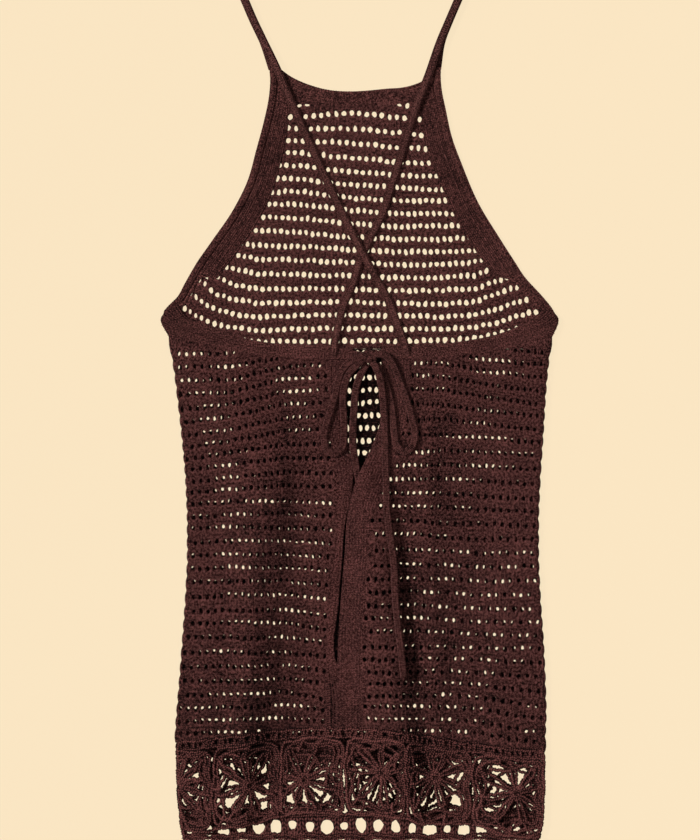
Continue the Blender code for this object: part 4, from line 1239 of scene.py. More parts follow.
def close_net(name, net, surface, finish, shade, tuck):
    """Lays the net on its surface, gives it thickness and walls, and shows it as one piece."""
    points = np.array(net.points)
    x, y = points[:, 0], points[:, 1]
    base = surface(x, y) + CLOTH
    top, low = points.copy(), points.copy()
    top[:, 2] += base
    if tuck is not None:
        top[:, 2] -= tuck(x, y)
    low[:, 2] = base - CLOTH
    under = len(points)

    def spread(face):
        """Whether a patch has any width left where the net was held in at an edge."""
        x, y = top[list(face), 0], top[list(face), 1]
        return abs(np.dot(x, np.roll(y, -1)) - np.dot(y, np.roll(x, -1))) > 0.04

    faces = [face for face in net.faces if spread(face)]
    floors = [tuple(i + under for i in face) for face in net.floors if spread(face)]
    edges = dict.fromkeys(edge for face in faces for edge in zip(face, face[1:] + face[:1]))
    walls = [(b, a, a + under, b + under) for a, b in edges if (b, a) not in edges]
    every = faces + floors + walls
    used = np.unique(np.concatenate([np.array(face) for face in every]))
    order = np.zeros(2 * under, dtype=int)
    order[used] = np.arange(len(used))
    # each point's tone, less the painted shade of the shade rule; the underside's points take one even tone
    tones = np.array(net.tones) - (0.0 if shade is None else shade(x, y))
    piece = show_piece(name, np.vstack([top, low])[used],
                       [tuple(order[list(face)]) for face in every], finish,
                       np.vstack([net.maps, net.maps])[used])
    return give_tones(piece, np.concatenate([tones, np.full(under, 0.3)])[used])


def openwork(name, rows, left, right, floor_line, ceiling_line, surface, cells, finish, seed,
             eyelet=(2.15, 2.85), raised=True, limits=None, crowd=None, scallop=0.0, plain=None,
             shade=None, size_rule=None, tuck=None):
    """A sheet of openwork knit between its side, floor and ceiling lines. Each eyelet is given
    by its half width and half height, and raised ones have a collar of yarn."""
    chance = random.Random(seed)
    count = CELL * cells + 1
    lines = net_lines(rows, left, right, floor_line, ceiling_line, count, crowd, chance)

    def held_in(line):
        """The line, kept inside the sheet."""
        x, y = line[:, 0], np.clip(line[:, 1], floor_line(line[:, 0]), ceiling_line(line[:, 0]))
        if limits is not None:
            x = np.clip(x, limits[0](y), limits[1](y))
        return np.column_stack([x, y])

    net = Net()
    # the lines of knit take a middling tone; the lines a third of the way between, which lie a little lower, are
    # painted a little darker, as painted shade
    full = [net.add_line(held_in(line), k, 0.0, 0.45) for k, line in enumerate(lines)]
    thirds = []
    for k, (line, next_line) in enumerate(zip(lines, lines[1:])):
        for third in (1, 2):
            mix = line + (next_line - line) * (third / 3.0)
            mix[[0, -1], 0] += (-scallop, scallop)
            thirds.append(net.add_line(held_in(mix), k + third / 3, -0.1, 0.4))
    for k, middle in enumerate(rows):
        levels = full[k], thirds[2 * k], thirds[2 * k + 1], full[k + 1]
        low, first, second, high = levels
        begin = chance.randrange(CELL)
        starts = range(begin, count - CELL, CELL)
        for place in starts:
            end = place + CELL
            outline = (low[place:end + 1] + [first[end], second[end]]
                       + high[place:end + 1][::-1] + [second[place], first[place]])
            ring = np.array([net.points[i][:2] for i in outline])
            right_x, left_x = ring[5:7, 0].mean(), ring[12:14, 0].mean()
            wide = right_x - left_x
            if wide < SMALLEST_CELL or ring[7:12, 1].mean() - ring[0:5, 1].mean() < SMALLEST_CELL:
                continue
            centre_x = (right_x + left_x) / 2
            centre_y = float(middle(centre_x)) + chance.uniform(-0.7, 0.7)
            centre = np.array([centre_x + chance.uniform(-0.3, 0.3), centre_y])
            room = min(ring[9, 1] - centre_y, centre_y - ring[2, 1])
            if (wide < NET_PITCH * NARROWEST_EYELET or room < LEAST_ROOM
                    or plain and in_box(plain, centre_x, centre_y)):
                net.patch(outline)
                continue
            half_wide = eyelet[0] * chance.uniform(0.80, 1.12) * min(wide / NET_PITCH, 1.0) ** 1.4
            half_tall = eyelet[1] * chance.uniform(0.82, 1.15)
            if size_rule is not None:
                size = float(size_rule(centre_x, centre_y))
                half_wide, half_tall = half_wide * size, half_tall * size
            half_tall = min(half_tall, room - LEAST_YARN)
            collar, eye = shape_eyelet(ring, centre, half_wide, half_tall, chance)
            tone = chance.uniform(-0.12, 0.12)
            # the collar is painted lighter and the eye darker, as painted light and shade, over each eyelet's own
            # random tone
            loops = [outline]
            if raised:
                loops.append(net.add_loop(collar, ring, place, k, COLLAR_HEIGHT,
                                          COLLAR_PAINTED_LIGHT + tone))
            loops.append(net.add_loop(eye, ring, place, k, EYE_HEIGHT, EYE_PAINTED_SHADE + tone))
            net.eyelet(loops)
        # the columns left over at both sides are plain knit
        for c in [*range(begin), *range(begin + CELL * len(starts), count - 1)]:
            for below, above in zip(levels, levels[1:]):
                net.patch((below[c], below[c + 1], above[c + 1], above[c]))
    return close_net(name, net, surface, finish, shade, tuck)


net_finish = knit_finish("front_net", (0.003, 0.001, 0.0009), (0.178, 0.061, 0.055),
                         NET_PITCH / 3, ROW_PITCH / 6, 0.4, lean=2.6, contrast=1.5,
                         grain=3.2, lift=True)


def side_line(column, inward=0.0):
    """The dress's left or right side as a line over the height."""
    return lambda y: read_across(SIDE_EDGES, y, column) + inward


def level(height):
    return lambda x: np.full(np.shape(x), float(height))


def inner_limit(inner, passed):
    """A side band's inner edge over the height. Past it, the band's narrowest run nearby."""
    order = np.argsort(inner[:, 1])
    ys, xs = inner[order, 1], inner[order, 0]
    if passed:
        outermost = min if passed < 0 else max
        xs = np.array([outermost(xs[abs(ys - y) < 7.0]) for y in ys])
    return lambda y: np.interp(y, ys, xs) + passed


def neck_line(x):
    """The openwork's upper end, just under the neck band."""
    return np.interp(x, neck_lower[:, 0], neck_lower[:, 1]) + 1.6


def halter_side(side):
    """Half of the halter's eyelets to each side of the middle, at their spacing there."""
    heights = [upward(row) for row, pitch in HALTER_PITCH][::-1]
    pitches = [pitch for row, pitch in HALTER_PITCH][::-1]
    return lambda y: side * (HALTER_CELLS / 2) * np.interp(y, heights, pitches)


def under_bands(x, y):
    """How far the openwork dips where a side band covers it."""
    covered = np.maximum(inner_limit(inner_left, 0.0)(y) - x, x - inner_limit(inner_right, 0.0)(y))
    return 1.6 * ease((covered + 0.4) / 0.8)


def halter_left(y):
    """How far the halter's openwork may reach under the side bands."""
    return np.maximum(inner_limit(inner_left, -6.0)(y), side_line(1, 0.8)(y))


def halter_right(y):
    return np.minimum(inner_limit(inner_right, 6.0)(y), side_line(2, -0.8)(y))


halter_lines = [row_line(row, HALTER_COLUMNS) for row in HALTER_ROWS][::-1]
halter = openwork("front_halter", halter_lines, halter_side(-1.0), halter_side(1.0),
                  level(HALTER_FLOOR), neck_line, flat_front, HALTER_CELLS, net_finish, 11,
                  eyelet=(2.35, 2.95), plain=PLAIN_NECK, tuck=under_bands,
                  limits=(halter_left, halter_right))
settle(halter, "front_knit")

# no eyelet of the front shows through the closed slit: columns and rows of the photograph
UNDER_THE_SLIT = (332, 372, 460, 700)


def eyelet_size(x, y):
    """The covered eyelets are pulled narrower, except in the keyhole of the back."""
    seen = ease((y - 385.0) / 15.0) * ease((30.0 - abs(x)) / 6.0)
    return 0.80 + 0.28 * seen


def painted_shade_under_back(x, y):
    """Painted shade: the body is painted darker where it lies in the back's shade, and darkest behind the back's
    openwork.
    """
    return 0.3 + 0.9 * ease((y - 130.0) / 12.0)


body_lines = [row_line(row, FRONT_COLUMNS) for row in BODY_ROWS][::-1]
body = openwork("front_panel", body_lines, side_line(1, 0.8), side_line(2, -0.8),
                level(FRONT_FOOT), level(HALTER_FLOOR), flat_front, BODY_CELLS, net_finish, 12,
                raised=False, scallop=0.3, shade=painted_shade_under_back, plain=UNDER_THE_SLIT,
                size_rule=eyelet_size)
settle(body, "front_knit", "front_panel")

# --------------------------------------------------------------------- the openwork back halves
# The same openwork in two halves that lie on the front. Their rows swing down beside the
# middle, where the left half falls in a long fold and the right half laps over its neighbour.
TOP_BAND_LEFT_UPPER = (
    (-190, 562), (-181, 550), (-171, 545), (-156, 540), (-140, 535), (-124, 529),
    (-107, 525), (-74, 521), (-40, 520), (-9, 517),
)
TOP_BAND_LEFT_LOWER = (
    (-199, 528), (-180, 526), (-160, 521), (-140, 516), (-110, 511), (-74, 508),
    (-36, 507), (-10, 506),
)
TOP_BAND_RIGHT_UPPER = (
    (190, 562), (183, 552), (162, 540), (141, 532), (113, 526), (86, 522), (51, 520),
    (21, 517),
)
TOP_BAND_RIGHT_LOWER = (
    (198, 527), (180, 524), (160, 519), (140, 515), (110, 511), (80, 508), (51, 507),
    (21, 506),
)
BORDER_TOP = (
    (-196, 109), (-155, 113), (-105, 120), (-63, 123), (-17, 124), (20, 123),
    (46, 120), (72, 115), (98, 110), (124, 107), (160, 102), (195, 100),
)
# the photograph's rows of the back's eyelets, from the top band down, each at these columns
LEFT_COLUMNS = (190, 230, 285, 325)
LEFT_ROWS = (
    (354, 353, 346, 344), (367, 366.5, 357, 354.5), (380.5, 379.7, 367, 364),
    (394, 391.9, 379, 376), (409, 404.3, 392, 389), (422, 416.5, 404, 402.7),
    (435, 429.7, 417.8, 415.8), (447, 440.8, 430.7, 429.5), (459, 452.5, 444.5, 443.7),
    (470, 465, 458.5, 458.5), (482, 477.5, 471.5, 473), (493, 489.3, 485.3, 486.7),
    (505, 501.5, 500, 503), (517.5, 514.5, 512.5, 515.7), (529, 526.2, 527.5, 529.5),
    (543, 541, 540, 542.8), (555.5, 554.7, 553.3, 556.3), (569, 567, 566.3, 569.7),
    (582.5, 581, 580, 585), (598, 595, 593.5, 599), (611.5, 610, 609, 616),
    (624, 622.5, 622, 629.5), (637.5, 637, 637, 642.5), (652.5, 651.5, 652.8, 656),
    (667, 666, 665, 671), (681, 681.3, 678, 684), (695, 694.5, 691.5, 699.5),
    (708.5, 706.8, 704, 711), (721.5, 718.8, 717.5, 722), (733, 731.5, 729, 729),
)
RIGHT_COLUMNS = (415, 445, 480, 532)
RIGHT_ROWS = (
    (340, 342, 346, 352), (351.5, 352, 358.8, 364.3), (363.3, 363.5, 370, 376.7),
    (375.2, 377.5, 383.3, 390), (389, 390, 396.2, 403.5), (403.3, 405, 410, 416),
    (420, 419, 423, 429), (433.8, 435, 437, 442), (452, 450.5, 452, 455),
    (465.5, 464.5, 466.3, 469), (479.3, 478.3, 481, 484), (493, 493.5, 495.8, 499),
    (507, 507, 509.5, 511.5), (520.5, 522.8, 524, 525.5), (534, 537.3, 539, 539),
    (549.5, 551, 553.5, 553), (564.3, 565, 567.5, 566), (578.8, 578.8, 581, 580.5),
    (591.3, 592.5, 595, 594.7), (605, 607, 608.5, 609), (617.5, 619, 621.5, 622.5),
    (630.5, 631.5, 634.7, 635.8), (646.7, 647, 648, 648.7), (659, 658.5, 659.7, 662.5),
    (671.8, 671, 672.7, 676), (682.8, 683.2, 684.7, 691.3), (695.5, 694.8, 697.5, 705),
    (705.8, 707, 709, 717.8), (718.7, 719.5, 721.5, 731), (729, 730, 733, 741),
)
back_finish = knit_finish("back_net", (0.003, 0.001, 0.0009), (0.170, 0.058, 0.052),
                          NET_PITCH / 3, ROW_PITCH / 6, 0.4, lean=2.6, contrast=1.5,
                          grain=3.2, lift=True)


def placket_edge(table, column, passed):
    """A placket's edge as a line over the height, passed by so much."""
    return lambda y: read_across(table, y, column) + passed


def band_line(table, passed):
    """A band's edge as a line over the width, passed by so much."""
    curve = evenly(table, 60)
    curve = curve[np.argsort(curve[:, 0])]
    return lambda x: np.interp(x, curve[:, 0], curve[:, 1]) + passed


def border_line(passed):
    """The back border's upper edge, passed by so much."""
    return lambda x: read_across(BORDER_TOP, x, 1) + passed


def crowded(middle, spread, strength):
    """Packs the eyelets closer where the cloth falls into a fold, given in shares of the width."""
    def crowd(share, y):
        fine = np.linspace(0.0, 1.0, 201)
        weight = 1.0 / (1.0 + strength * np.exp(-((fine - middle) / spread) ** 2))
        total = np.concatenate([[0.0], np.cumsum((weight[1:] + weight[:-1]) / 2)])
        return np.interp(share, fine, total / total[-1])
    return crowd


# the most painted shade that the troughs may take
DARKEST_PAINTED_TROUGH_SHADE = 0.72
# painted shade along the troughs between the folds: from x, y to x, y, half width and depth of each
PAINTED_TROUGH_SHADES = (
    (-73, 464, -76, 370, 18, 0.28), (-102, 340, -112, 90, 26, 0.38),
    (-72, 330, -72, 110, 15, 0.14), (-185, 160, -130, 120, 50, 0.30),
    (46, 505, 46, 297, 13, 0.17), (46, 290, 56, 60, 17, 0.62),
    (82, 440, 86, 105, 18, 0.30), (114, 340, 122, 105, 20, 0.18), (150, 180, 180, 105, 48, 0.16),
)


def painted_trough_shade(x, y):
    """Painted shade: how much darker the yarn is painted in the troughs between the folds."""
    depth = 0.0
    for x0, y0, x1, y1, wide, deep in PAINTED_TROUGH_SHADES:
        squared = math.hypot(x1 - x0, y1 - y0) ** 2
        share = np.clip(((x - x0) * (x1 - x0) + (y - y0) * (y1 - y0)) / squared, 0.0, 1.0)
        away = np.hypot(x - x0 - share * (x1 - x0), y - y0 - share * (y1 - y0))
        depth = depth + deep * np.exp(-(away / wide) ** 2)
    return np.minimum(depth, DARKEST_PAINTED_TROUGH_SHADE)


BACK_EYELET = (1.85, 2.4)
EDGE_SCALLOP = 1.2
BEHIND_EDGE = 1.4             # how far the openwork runs on under a placket
BEHIND_BAND = 1.6             # and under a top band or the border
back_left = openwork(
    "back_panel_left", [row_line(row, LEFT_COLUMNS) for row in LEFT_ROWS][::-1],
    side_line(1), placket_edge(PLACKET_LEFT, 2, BEHIND_EDGE), border_line(-BEHIND_BAND),
    band_line(TOP_BAND_LEFT_LOWER, BEHIND_BAND), left_back, 22, back_finish, 21,
    eyelet=BACK_EYELET, crowd=crowded(0.62, 0.16, 0.30), scallop=EDGE_SCALLOP,
    shade=painted_trough_shade)
settle(back_left, "back_knit", "back_panel_left")
back_right = openwork(
    "back_panel_right", [row_line(row, RIGHT_COLUMNS) for row in RIGHT_ROWS][::-1],
    placket_edge(PLACKET_RIGHT, 2, -BEHIND_EDGE), side_line(2), border_line(-BEHIND_BAND),
    band_line(TOP_BAND_RIGHT_LOWER, BEHIND_BAND), right_back, 23, back_finish, 22,
    eyelet=BACK_EYELET, crowd=crowded(0.18, 0.16, 0.30), scallop=EDGE_SCALLOP,
    shade=painted_trough_shade)
settle(back_right, "back_knit", "back_panel_right")

# -------------------------------------------------------------- the back's top bands and plackets
# Dense knit bands finish the back's upper edge, and a strip of the same knit stands along each
# side of the centre slit. Below the keyhole the right strip laps over the left one.
EAR_REACH = 206.5             # the bands' outer corners: from the middle, and up
EAR_HEIGHT = 549.0
TOP_BAND_ROWS = 25
PLACKET_WALE = 3.0
PLACKET_STEPS = 130
SLIT_ROOM = 2.3               # width of the dark line along the lap
SLIT_FOOT = (160.0, 30.0)     # y from which the line shows, and over how much it opens
SLIT_HEAD = (372.0, 20.0)     # and where it closes again
for name, upper, lower, outward in (
        ("back_top_band_left", TOP_BAND_LEFT_UPPER, TOP_BAND_LEFT_LOWER, -1.0),
        ("back_top_band_right", TOP_BAND_RIGHT_UPPER, TOP_BAND_RIGHT_LOWER, 1.0)):
    high, low = evenly(upper, BAND_STEPS), evenly(lower, BAND_STEPS)
    corner = (outward * EAR_REACH + MIDDLE_X, EAR_HEIGHT)
    ear = evenly([tuple(low[0]), corner, tuple(high[0])], TOP_BAND_ROWS)
    inner = np.linspace(low[-1], high[-1], TOP_BAND_ROWS)
    if outward > 0:
        grid, underside = stretched(low[::-1], high[::-1], inner, ear), right_back
    else:
        grid, underside = stretched(low, high, ear, inner), left_back
    sheet, stitches = knit_band(name, grid, underside, (band_core, band_finish), swell=0.22)
    settle(sheet, "band_knit", name)
    lay_out(sheet, grid, ["front_panel"], [settle(stitches, "band_knit")])

placket_finish = knit_finish("placket_knit", (0.006, 0.0020, 0.0018), (0.205, 0.071, 0.064),
                             grain=1.5)


def slit_room(x, y):
    """How far the left strip's inner edge is drawn back, so that the slit stays a dark line."""
    lap = x - read_across(PLACKET_RIGHT, y, 1)
    opened = ease((y - SLIT_FOOT[0]) / SLIT_FOOT[1]) * ease((SLIT_HEAD[0] - y) / SLIT_HEAD[1])
    return (lap + SLIT_ROOM) * opened


for name, table, underside, columns, below in (
        ("placket_left", PLACKET_LEFT, left_back, 31, "front_panel"),
        ("placket_right", PLACKET_RIGHT, right_back, 41, "placket_left")):
    edges = []
    for column in (2, 1):
        run = [(row[column], row[0]) for row in table[::-1]]
        run[0] = (run[0][0], float(border_line(-1.0)(run[0][0])))
        run[-1] = (run[-1][0], run[-1][1] + 1.0)
        if table is PLACKET_LEFT and column == 1:
            run = [(x - slit_room(x, y), y) for x, y in run]
        edges.append(evenly(run, PLACKET_STEPS))
    first, second = edges if edges[0][0, 0] < edges[1][0, 0] else edges[::-1]
    bottom = np.linspace(first[0], second[0], columns)
    top = np.linspace(first[-1], second[-1], columns)
    grid = stretched(bottom, top, first, second)
    sheet, stitches = knit_band(name, grid, underside, (band_core, placket_finish), PLACKET_WALE,
                                across_rows=False)
    settle(sheet, "band_knit", name)
    lay_out(sheet, grid, [below], [settle(stitches, "band_knit")])

# ------------------------------------------------------------------------- the crochet borders
# Each layer ends in five crochet flower squares and one turned over the left side. A flower has
# eight petals of thick worked strands round a gathered centre, in a frame of chain stitches.
# The front's border hangs lower and ends in a row of open arches over its scalloped hem.
BORDER_BOTTOM = (
    (-196, 16), (-158, 13), (-146, 18), (-118, 21), (-105, 23), (-86, 29), (-53, 34),
    (-29, 32), (0, 31), (30, 30), (50, 28), (60, 23), (115, 21), (131, 18), (145, 11),
    (165, 8), (195, 6),
)
BACK_JOINTS = (-193.0, -155.0, -84.0, -17.0, 46.0, 115.0, 190.0)
FRONT_JOINTS = (-193.0, -157.0, -87.0, -18.0, 52.0, 122.0, 188.0)
# the gathered centres of the back's flowers, as columns and rows of the photograph
FLOWER_CENTRES = ((250, 784), (303, 780), (382, 771), (434, 776), (516, 792))
BORDER_DEPTH = 92.0
FRONT_HEM = 3.0
ARCH_ROOM = 31.0              # y of the row between the open arches and the front's squares
HEM_SCALLOP = 3.0
SCALLOP_PITCH = 35.0
PETALS = 8
HIDDEN_PETALS = 4             # more to the turned half square, which shows only half of them
STRUTS = 18
PETAL_ROPE = 2.2              # radius of a petal's worked strands
CHAIN = 2.1                   # radius of the frame's chains
# share of the way to the edge, radius and height of the loops of the gathered centre
CENTRE_LOOPS = ((0.07, 2.1, 0.9), (0.15, 1.9, 0.8))
CENTRE_STEPS = 24
# the same share, depth and number of its waves, their place, share of the chain, height
FRAME_LOOPS = (
    (0.74, 0.09, 6, 8, 0.95, 0.5), (0.85, 0.045, 7, 5, 1.05, 0.15),
    (0.955, 0.018, 9, 3, 1.15, 0.35),
)
CORNER_POWER = 9              # the higher, the squarer are a frame's corners
BACK_HEADING = 10.5           # dense rows between the knit and the flowers
FRONT_HEADING = 2.0
HEADING_STEP = 5.4
ROPE_STEP = 4.0               # between the points of a rope along an edge, which sways a little
ROPE_SWAY = 0.5
SIDE_STEP = 5.0
# a strand of yarn: distance between its rings, its corners, its beat and how far it sways
RING_STEP = 1.5
YARN_SIDES = 6
YARN_BEAT = 3.3
YARN_SWAY = 0.40
YARN_SWELL = 0.20
YARN_FLATNESS = 0.86
YARN_ROUND = 5.2              # the yarn's girth in its map
# middles of the open arches, as columns and rows of the photograph
ARCH_COLUMNS = (234, 275, 292, 309, 341, 381, 414, 456, 511)
ARCH_ROW = (830, 826.5, 825, 828, 826, 826, 829, 830, 832)
ARCH_CELLS = 21
lace_finish = knit_finish("lace_yarn", (0.003, 0.001, 0.0009), (0.172, 0.058, 0.052), 2.6, 2.4,
                          0.5, contrast=1.7, lift=True)
arch_finish = knit_finish("arch_yarn", (0.003, 0.001, 0.0009), (0.150, 0.051, 0.046), 2.4, 2.4,
                          0.5, contrast=1.5, lift=True)


def border_back(x, y):
    """Underside of the back border, which joins both halves."""
    blend = ease((x + FLAT_BY_SLIT - 1.0) / 12.0)
    return left_back(x, y) + (right_back(x, y) - left_back(x, y)) * blend


def yarn_mesh(name, strands, surface, finish, shade):
    """Yarn strands laid on a surface, as one mesh of closed tubes, each of its own tone, with painted light on top and
    painted shade beneath.
    A strand is its route, its radius and its height over the surface."""
    points, faces, maps, tones = [], [], [], []
    chance = random.Random(len(strands))
    angle = np.linspace(0.0, 2.0 * np.pi, YARN_SIDES, endpoint=False) + np.pi / YARN_SIDES
    girth = (np.arange(YARN_SIDES) / YARN_SIDES) * YARN_ROUND
    for route, radius, lift in strands:
        length = distance_along(route)
        count = max(int(length[-1] / RING_STEP) + 1, 3)
        wanted = np.linspace(0.0, length[-1], count)
        line = np.column_stack([np.interp(wanted, length, route[:, 0]),
                                np.interp(wanted, length, route[:, 1])])
        # no strand stands out past the dress's sides
        line[:, 0] = np.clip(line[:, 0], side_line(1, radius)(line[:, 1]),
                             side_line(2, -radius)(line[:, 1]))
        along = np.gradient(line, axis=0)
        along /= np.maximum(np.linalg.norm(along, axis=1), 1e-6)[:, None]
        side = np.column_stack([along[:, 1], -along[:, 0]])
        taper = np.interp(wanted, [0.0, 1.2, length[-1] - 1.2, length[-1]], [0.55, 1, 1, 0.55])
        # the radius, which differs from strand to strand, also sets where its beat starts
        beat = 2.0 * np.pi * wanted / YARN_BEAT + radius * 37.0
        line = line + side * (YARN_SWAY * np.sin(beat * 0.5))[:, None]
        swell = radius * taper * (1.0 + YARN_SWELL * np.cos(beat))
        base = surface(line[:, 0], line[:, 1]) + lift
        ring = np.empty((count, YARN_SIDES, 3))
        ring[:, :, :2] = line[:, None, :] + side[:, None, :] * (
            swell[:, None] * np.cos(angle))[:, :, None]
        ring[:, :, 2] = ((base + radius * YARN_FLATNESS)[:, None]
                         + YARN_FLATNESS * swell[:, None] * np.sin(angle))
        faces += tube_faces(count, YARN_SIDES, len(points))
        points.extend(ring.reshape(-1, 3))
        # each strand's own random tone, less the painted shade of the shade rule; its top is painted lighter and its
        # sides and underside darker, as painted light and shade
        tone = 0.20 + chance.uniform(-0.20, 0.20) - shade(line[:, 0], line[:, 1])
        tones.append((tone[:, None] + 0.50 * np.sin(angle)[None, :]).ravel())
        maps.extend(np.dstack(np.broadcast_arrays(girth[None, :], wanted[:, None])).reshape(-1, 2))
    return give_tones(show_piece(name, points, faces, finish, maps), np.concatenate(tones))


def covered(x, y):
    """Painted shade: the front's squares are painted darker where they lie in the shade of the back's, all but their
    hem.
    """
    return 0.52 * ease((y - 29.0) / 8.0)


def flower(centre, x_low, x_high, bottom, top, seed, half=False):
    """Strands of one square: a gathered centre, its petals, a wavy frame and its chains."""
    chance = random.Random(seed)
    centre = np.array(centre, float)
    strands = []

    def toward(angle, ring):
        """A point at a share of the way from the centre to the square's edge."""
        dx, dy = math.cos(angle), math.sin(angle)
        reach_x = 1e9
        if abs(dx) > 1e-6:
            reach_x = ((x_high if dx > 0 else x_low) - centre[0]) / dx
        x_guess = centre[0] + dx * min(reach_x, 40.0)
        limit = top(x_guess) if dy > 0 else bottom(x_guess)
        reach_y = (limit - centre[1]) / dy if abs(dy) > 1e-6 else 1e9
        # the square's edge, with its corners a little rounded
        reach = (abs(1 / reach_x) ** CORNER_POWER
                 + abs(1 / reach_y) ** CORNER_POWER) ** (-1.0 / CORNER_POWER)
        rounded = min(abs(reach_x), abs(reach_y), reach)
        rounded += (reach - rounded) * ease((ring - 0.45) / 0.45)
        # no frame is worked quite evenly
        lumps = 1.0 + 0.03 * math.sin(3.0 * angle + seed) + 0.02 * math.sin(7.0 * angle + seed)
        return centre + np.array([dx, dy]) * rounded * ring * min(lumps, 1.0 / max(ring, 0.97))

    spin = chance.uniform(-0.4, 0.4)
    petals = PETALS + HIDDEN_PETALS if half else PETALS
    width = 2.0 * math.pi / petals
    for petal in range(petals):
        middle = spin + width * (petal + 0.5 + chance.uniform(-0.16, 0.16))
        if half and math.cos(middle) < 0.1:
            continue
        tip = 0.68 + chance.uniform(-0.12, 0.08)
        open_left, open_right = chance.uniform(0.10, 0.20), chance.uniform(0.10, 0.20)
        # the petal's loop: share of its width beside the middle, share of the way out
        loop = ((-0.22, 0.08), (-0.17, 0.34), (-open_left, tip * 0.78), (-0.08, tip * 0.97),
                (0.0, tip * 1.03), (0.08, tip * 0.97), (open_right, tip * 0.78), (0.17, 0.34),
                (0.22, 0.08))
        loop = smooth_route([toward(middle + aside * width, share) for aside, share in loop], 1.2)
        strands.append((loop, PETAL_ROPE * chance.uniform(0.85, 1.15), 0.45))
        # a stem joins the petal's tip to the frame
        post = np.array([toward(middle, tip * 0.9),
                         toward(middle + chance.uniform(-0.12, 0.12), 0.84)])
        strands.append((post, PETAL_ROPE * chance.uniform(1.0, 1.5), 0.2))
        # some petals are tied to the next one
        if chance.random() < 0.45:
            between = middle + 0.5 * width
            bar = np.array([toward(between - 0.4 * width, chance.uniform(0.45, 0.6)),
                            toward(between + 0.4 * width, chance.uniform(0.5, 0.7))])
            strands.append((bar, PETAL_ROPE * chance.uniform(0.8, 1.1), 0.1))
    for share, radius, lift in CENTRE_LOOPS:
        steps = CENTRE_STEPS // 4 if half else CENTRE_STEPS
        loop = np.array([toward(2 * math.pi * i / CENTRE_STEPS, share) for i in range(steps + 1)])
        strands.append((loop, radius, lift))
    turns = np.linspace(0.0, 2.0 * math.pi, 61)
    if half:
        turns = np.linspace(-0.5 * math.pi, 0.5 * math.pi, 31)
    for share, depth, waves, phase, chain, lift in FRAME_LOOPS:
        loop = np.array([toward(angle, share * (1.0 + depth * math.cos(waves * angle + spin * phase)))
                         for angle in turns])
        strands.append((loop, CHAIN * chain, lift))
    for i in range(STRUTS):
        angle = 2.0 * math.pi * (i + 0.5 + chance.uniform(-0.4, 0.4)) / STRUTS + spin
        if half and math.cos(angle) < 0.15:
            continue
        slant = chance.uniform(-0.12, 0.12)
        inner = chance.uniform(0.62, 0.80)
        strut = np.array([toward(angle - slant, inner), toward(angle + slant, 0.97)])
        strands.append((strut, CHAIN * chance.uniform(0.7, 1.3), 0.3))
    return strands


def back_bottom(x):
    return float(read_across(BORDER_BOTTOM, x, 1)) + 1.4


def back_border_top(x):
    return float(border_line(0.3)(x))


def front_bottom(x):
    return ARCH_ROOM + math.sin(x / 11.0)


def front_top(x):
    return FRONT_HEM + BORDER_DEPTH + 1.0


def hem_line(x):
    """The front's scalloped hem."""
    return FRONT_HEM + HEM_SCALLOP * np.abs(np.sin(math.pi * x / SCALLOP_PITCH))


def edge_rope(line, x_low, x_high, rise):
    """A rope along an edge of a square."""
    xs = np.arange(x_low, x_high + ROPE_STEP, ROPE_STEP)
    xs[-1] = x_high
    return np.array([(x, line(x) + rise + ROPE_SWAY * math.sin(x * 1.9)) for x in xs])


def heading_struts(x_low, x_high, top, chance):
    """The short slanting stitches of the dense rows over a square of the back."""
    spots = np.arange(x_low + 1.5, x_high - 1.0, HEADING_STEP)
    strands = []
    for x in spots + np.array([chance.uniform(-1.4, 1.4) for spot in spots]):
        lean = chance.uniform(-1.6, 1.6)
        strut = np.array([(x - lean, top(x) - BACK_HEADING + 1.0), (x + lean, top(x) - 1.5)])
        strands.append((strut, CHAIN * chance.uniform(0.85, 1.4), 0.15))
    return strands


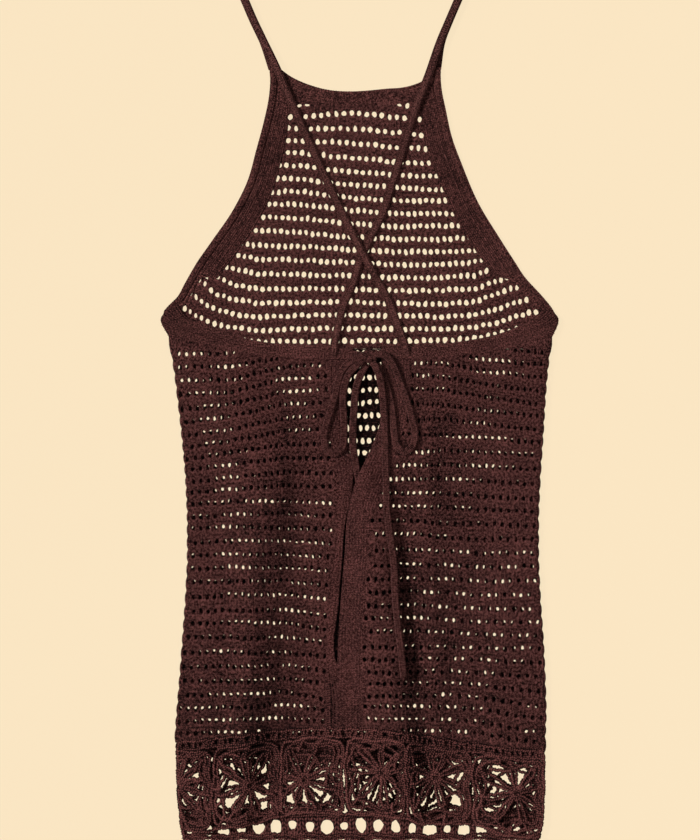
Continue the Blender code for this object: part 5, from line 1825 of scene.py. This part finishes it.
# each layer's lower ropes: the edge, how far over it, share of the chain's radius, height
LOWER_ROPES = {
    "front_lace": ((front_bottom, 0.6, 1.1, 0.4), (hem_line, 2.4, 1.1, 0.3),
                   (hem_line, 6.4, 0.9, 0.3)),
    "back_lace": ((back_bottom, 1.2, 1.15, 0.4),),
}
squares = {}
chance = random.Random(5)
for layer, joints, bottom, top, hem, heading, first_seed, underside, shade in (
        ("front_lace", FRONT_JOINTS, front_bottom, front_top, hem_line, FRONT_HEADING, 60,
         flat_front, covered),
        ("back_lace", BACK_JOINTS, back_bottom, back_border_top, back_bottom, BACK_HEADING, 40,
         border_back, painted_trough_shade)):
    on_back = layer == "back_lace"
    squares[layer] = []

    def flower_top(x, top=top, heading=heading):
        return top(x) - heading

    for k, (x_low, x_high) in enumerate(zip(joints, joints[1:])):
        node = f"{layer}_{k}" if k else layer + "_edge"
        centre = (x_low + 1.0, (bottom(x_low) + top(x_low)) / 2)
        if k:
            column, row = FLOWER_CENTRES[k - 1]
            # a square of the front lies a little beside and below the back's
            shift = (x_low + x_high - BACK_JOINTS[k] - BACK_JOINTS[k + 1]) / 2
            drop = 0.0 if on_back else chance.uniform(-2.0, 0.0)
            centre = (across(column) + shift, upward(row) + drop)
        strands = flower(centre, x_low + 0.2, x_high - 0.2, bottom, flower_top, first_seed + k,
                         half=k == 0)
        strands.append((edge_rope(top, x_low, x_high, -1.6), CHAIN * 1.1, 0.3))
        if on_back:
            strands.append((edge_rope(top, x_low, x_high, 0.8 - heading), CHAIN, 0.3))
            strands += heading_struts(x_low, x_high, top, chance)
        for line, rise, chain, lift in LOWER_ROPES[layer]:
            strands.append((edge_rope(line, x_low, x_high, rise), CHAIN * chain, lift))
        if k in (0, 5):
            # the outer edge of the border
            side = side_line(1, 2.6) if k == 0 else side_line(2, -2.6)
            ys = np.arange(hem(x_low) + 2.0, top(x_low), SIDE_STEP)
            rope = np.column_stack([side(ys) + ROPE_SWAY * np.sin(ys), ys])
            strands.append((rope, CHAIN * 1.1, 0.2))
        lace = yarn_mesh(node, strands, underside, lace_finish, shade)
        squares[layer].append(settle(lace, "lace_yarn", node))


def arch_size(x, y):
    """The arches are worked by hand, so no two along the hem are alike."""
    return 0.96 + 0.18 * math.sin(0.47 * x) + 0.14 * math.sin(0.19 * x + 1.0)


def arch_floor(x):
    return hem_line(x) + 0.6


arches = openwork("front_arches", [row_line(ARCH_ROW, ARCH_COLUMNS)], side_line(1, 1.0),
                  side_line(2, -1.0), arch_floor, level(ARCH_ROOM + 2.0), flat_front,
                  ARCH_CELLS, arch_finish, 31, eyelet=(5.8, 6.6), size_rule=arch_size)
squares["front_lace"].append(settle(arches, "lace_yarn"))

# the knit pieces as they were cut, where each border hangs on its layer like a hem
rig.sheet(body, flat=(0.404, 0.424), held="laid", area=0.160, with_pieces=squares["front_lace"])
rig.sheet(halter, flat=(0.400, 0.257), held="laid", area=0.071)
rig.sheet(back_left, flat=(0.182, 0.424), held="laid", rests_on=["front_panel"], area=0.067,
         with_pieces=squares["back_lace"][:3])
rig.sheet(back_right, flat=(0.200, 0.432), held="laid", rests_on=["front_panel", "placket_left"],
         area=0.072, with_pieces=squares["back_lace"][3:])

with open("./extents.json", "w") as file:
    json.dump({"cad": [list(map(float, cad_low)), list(map(float, cad_high))],
               "visual": [list(map(float, corner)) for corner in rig.bounds()]}, file)
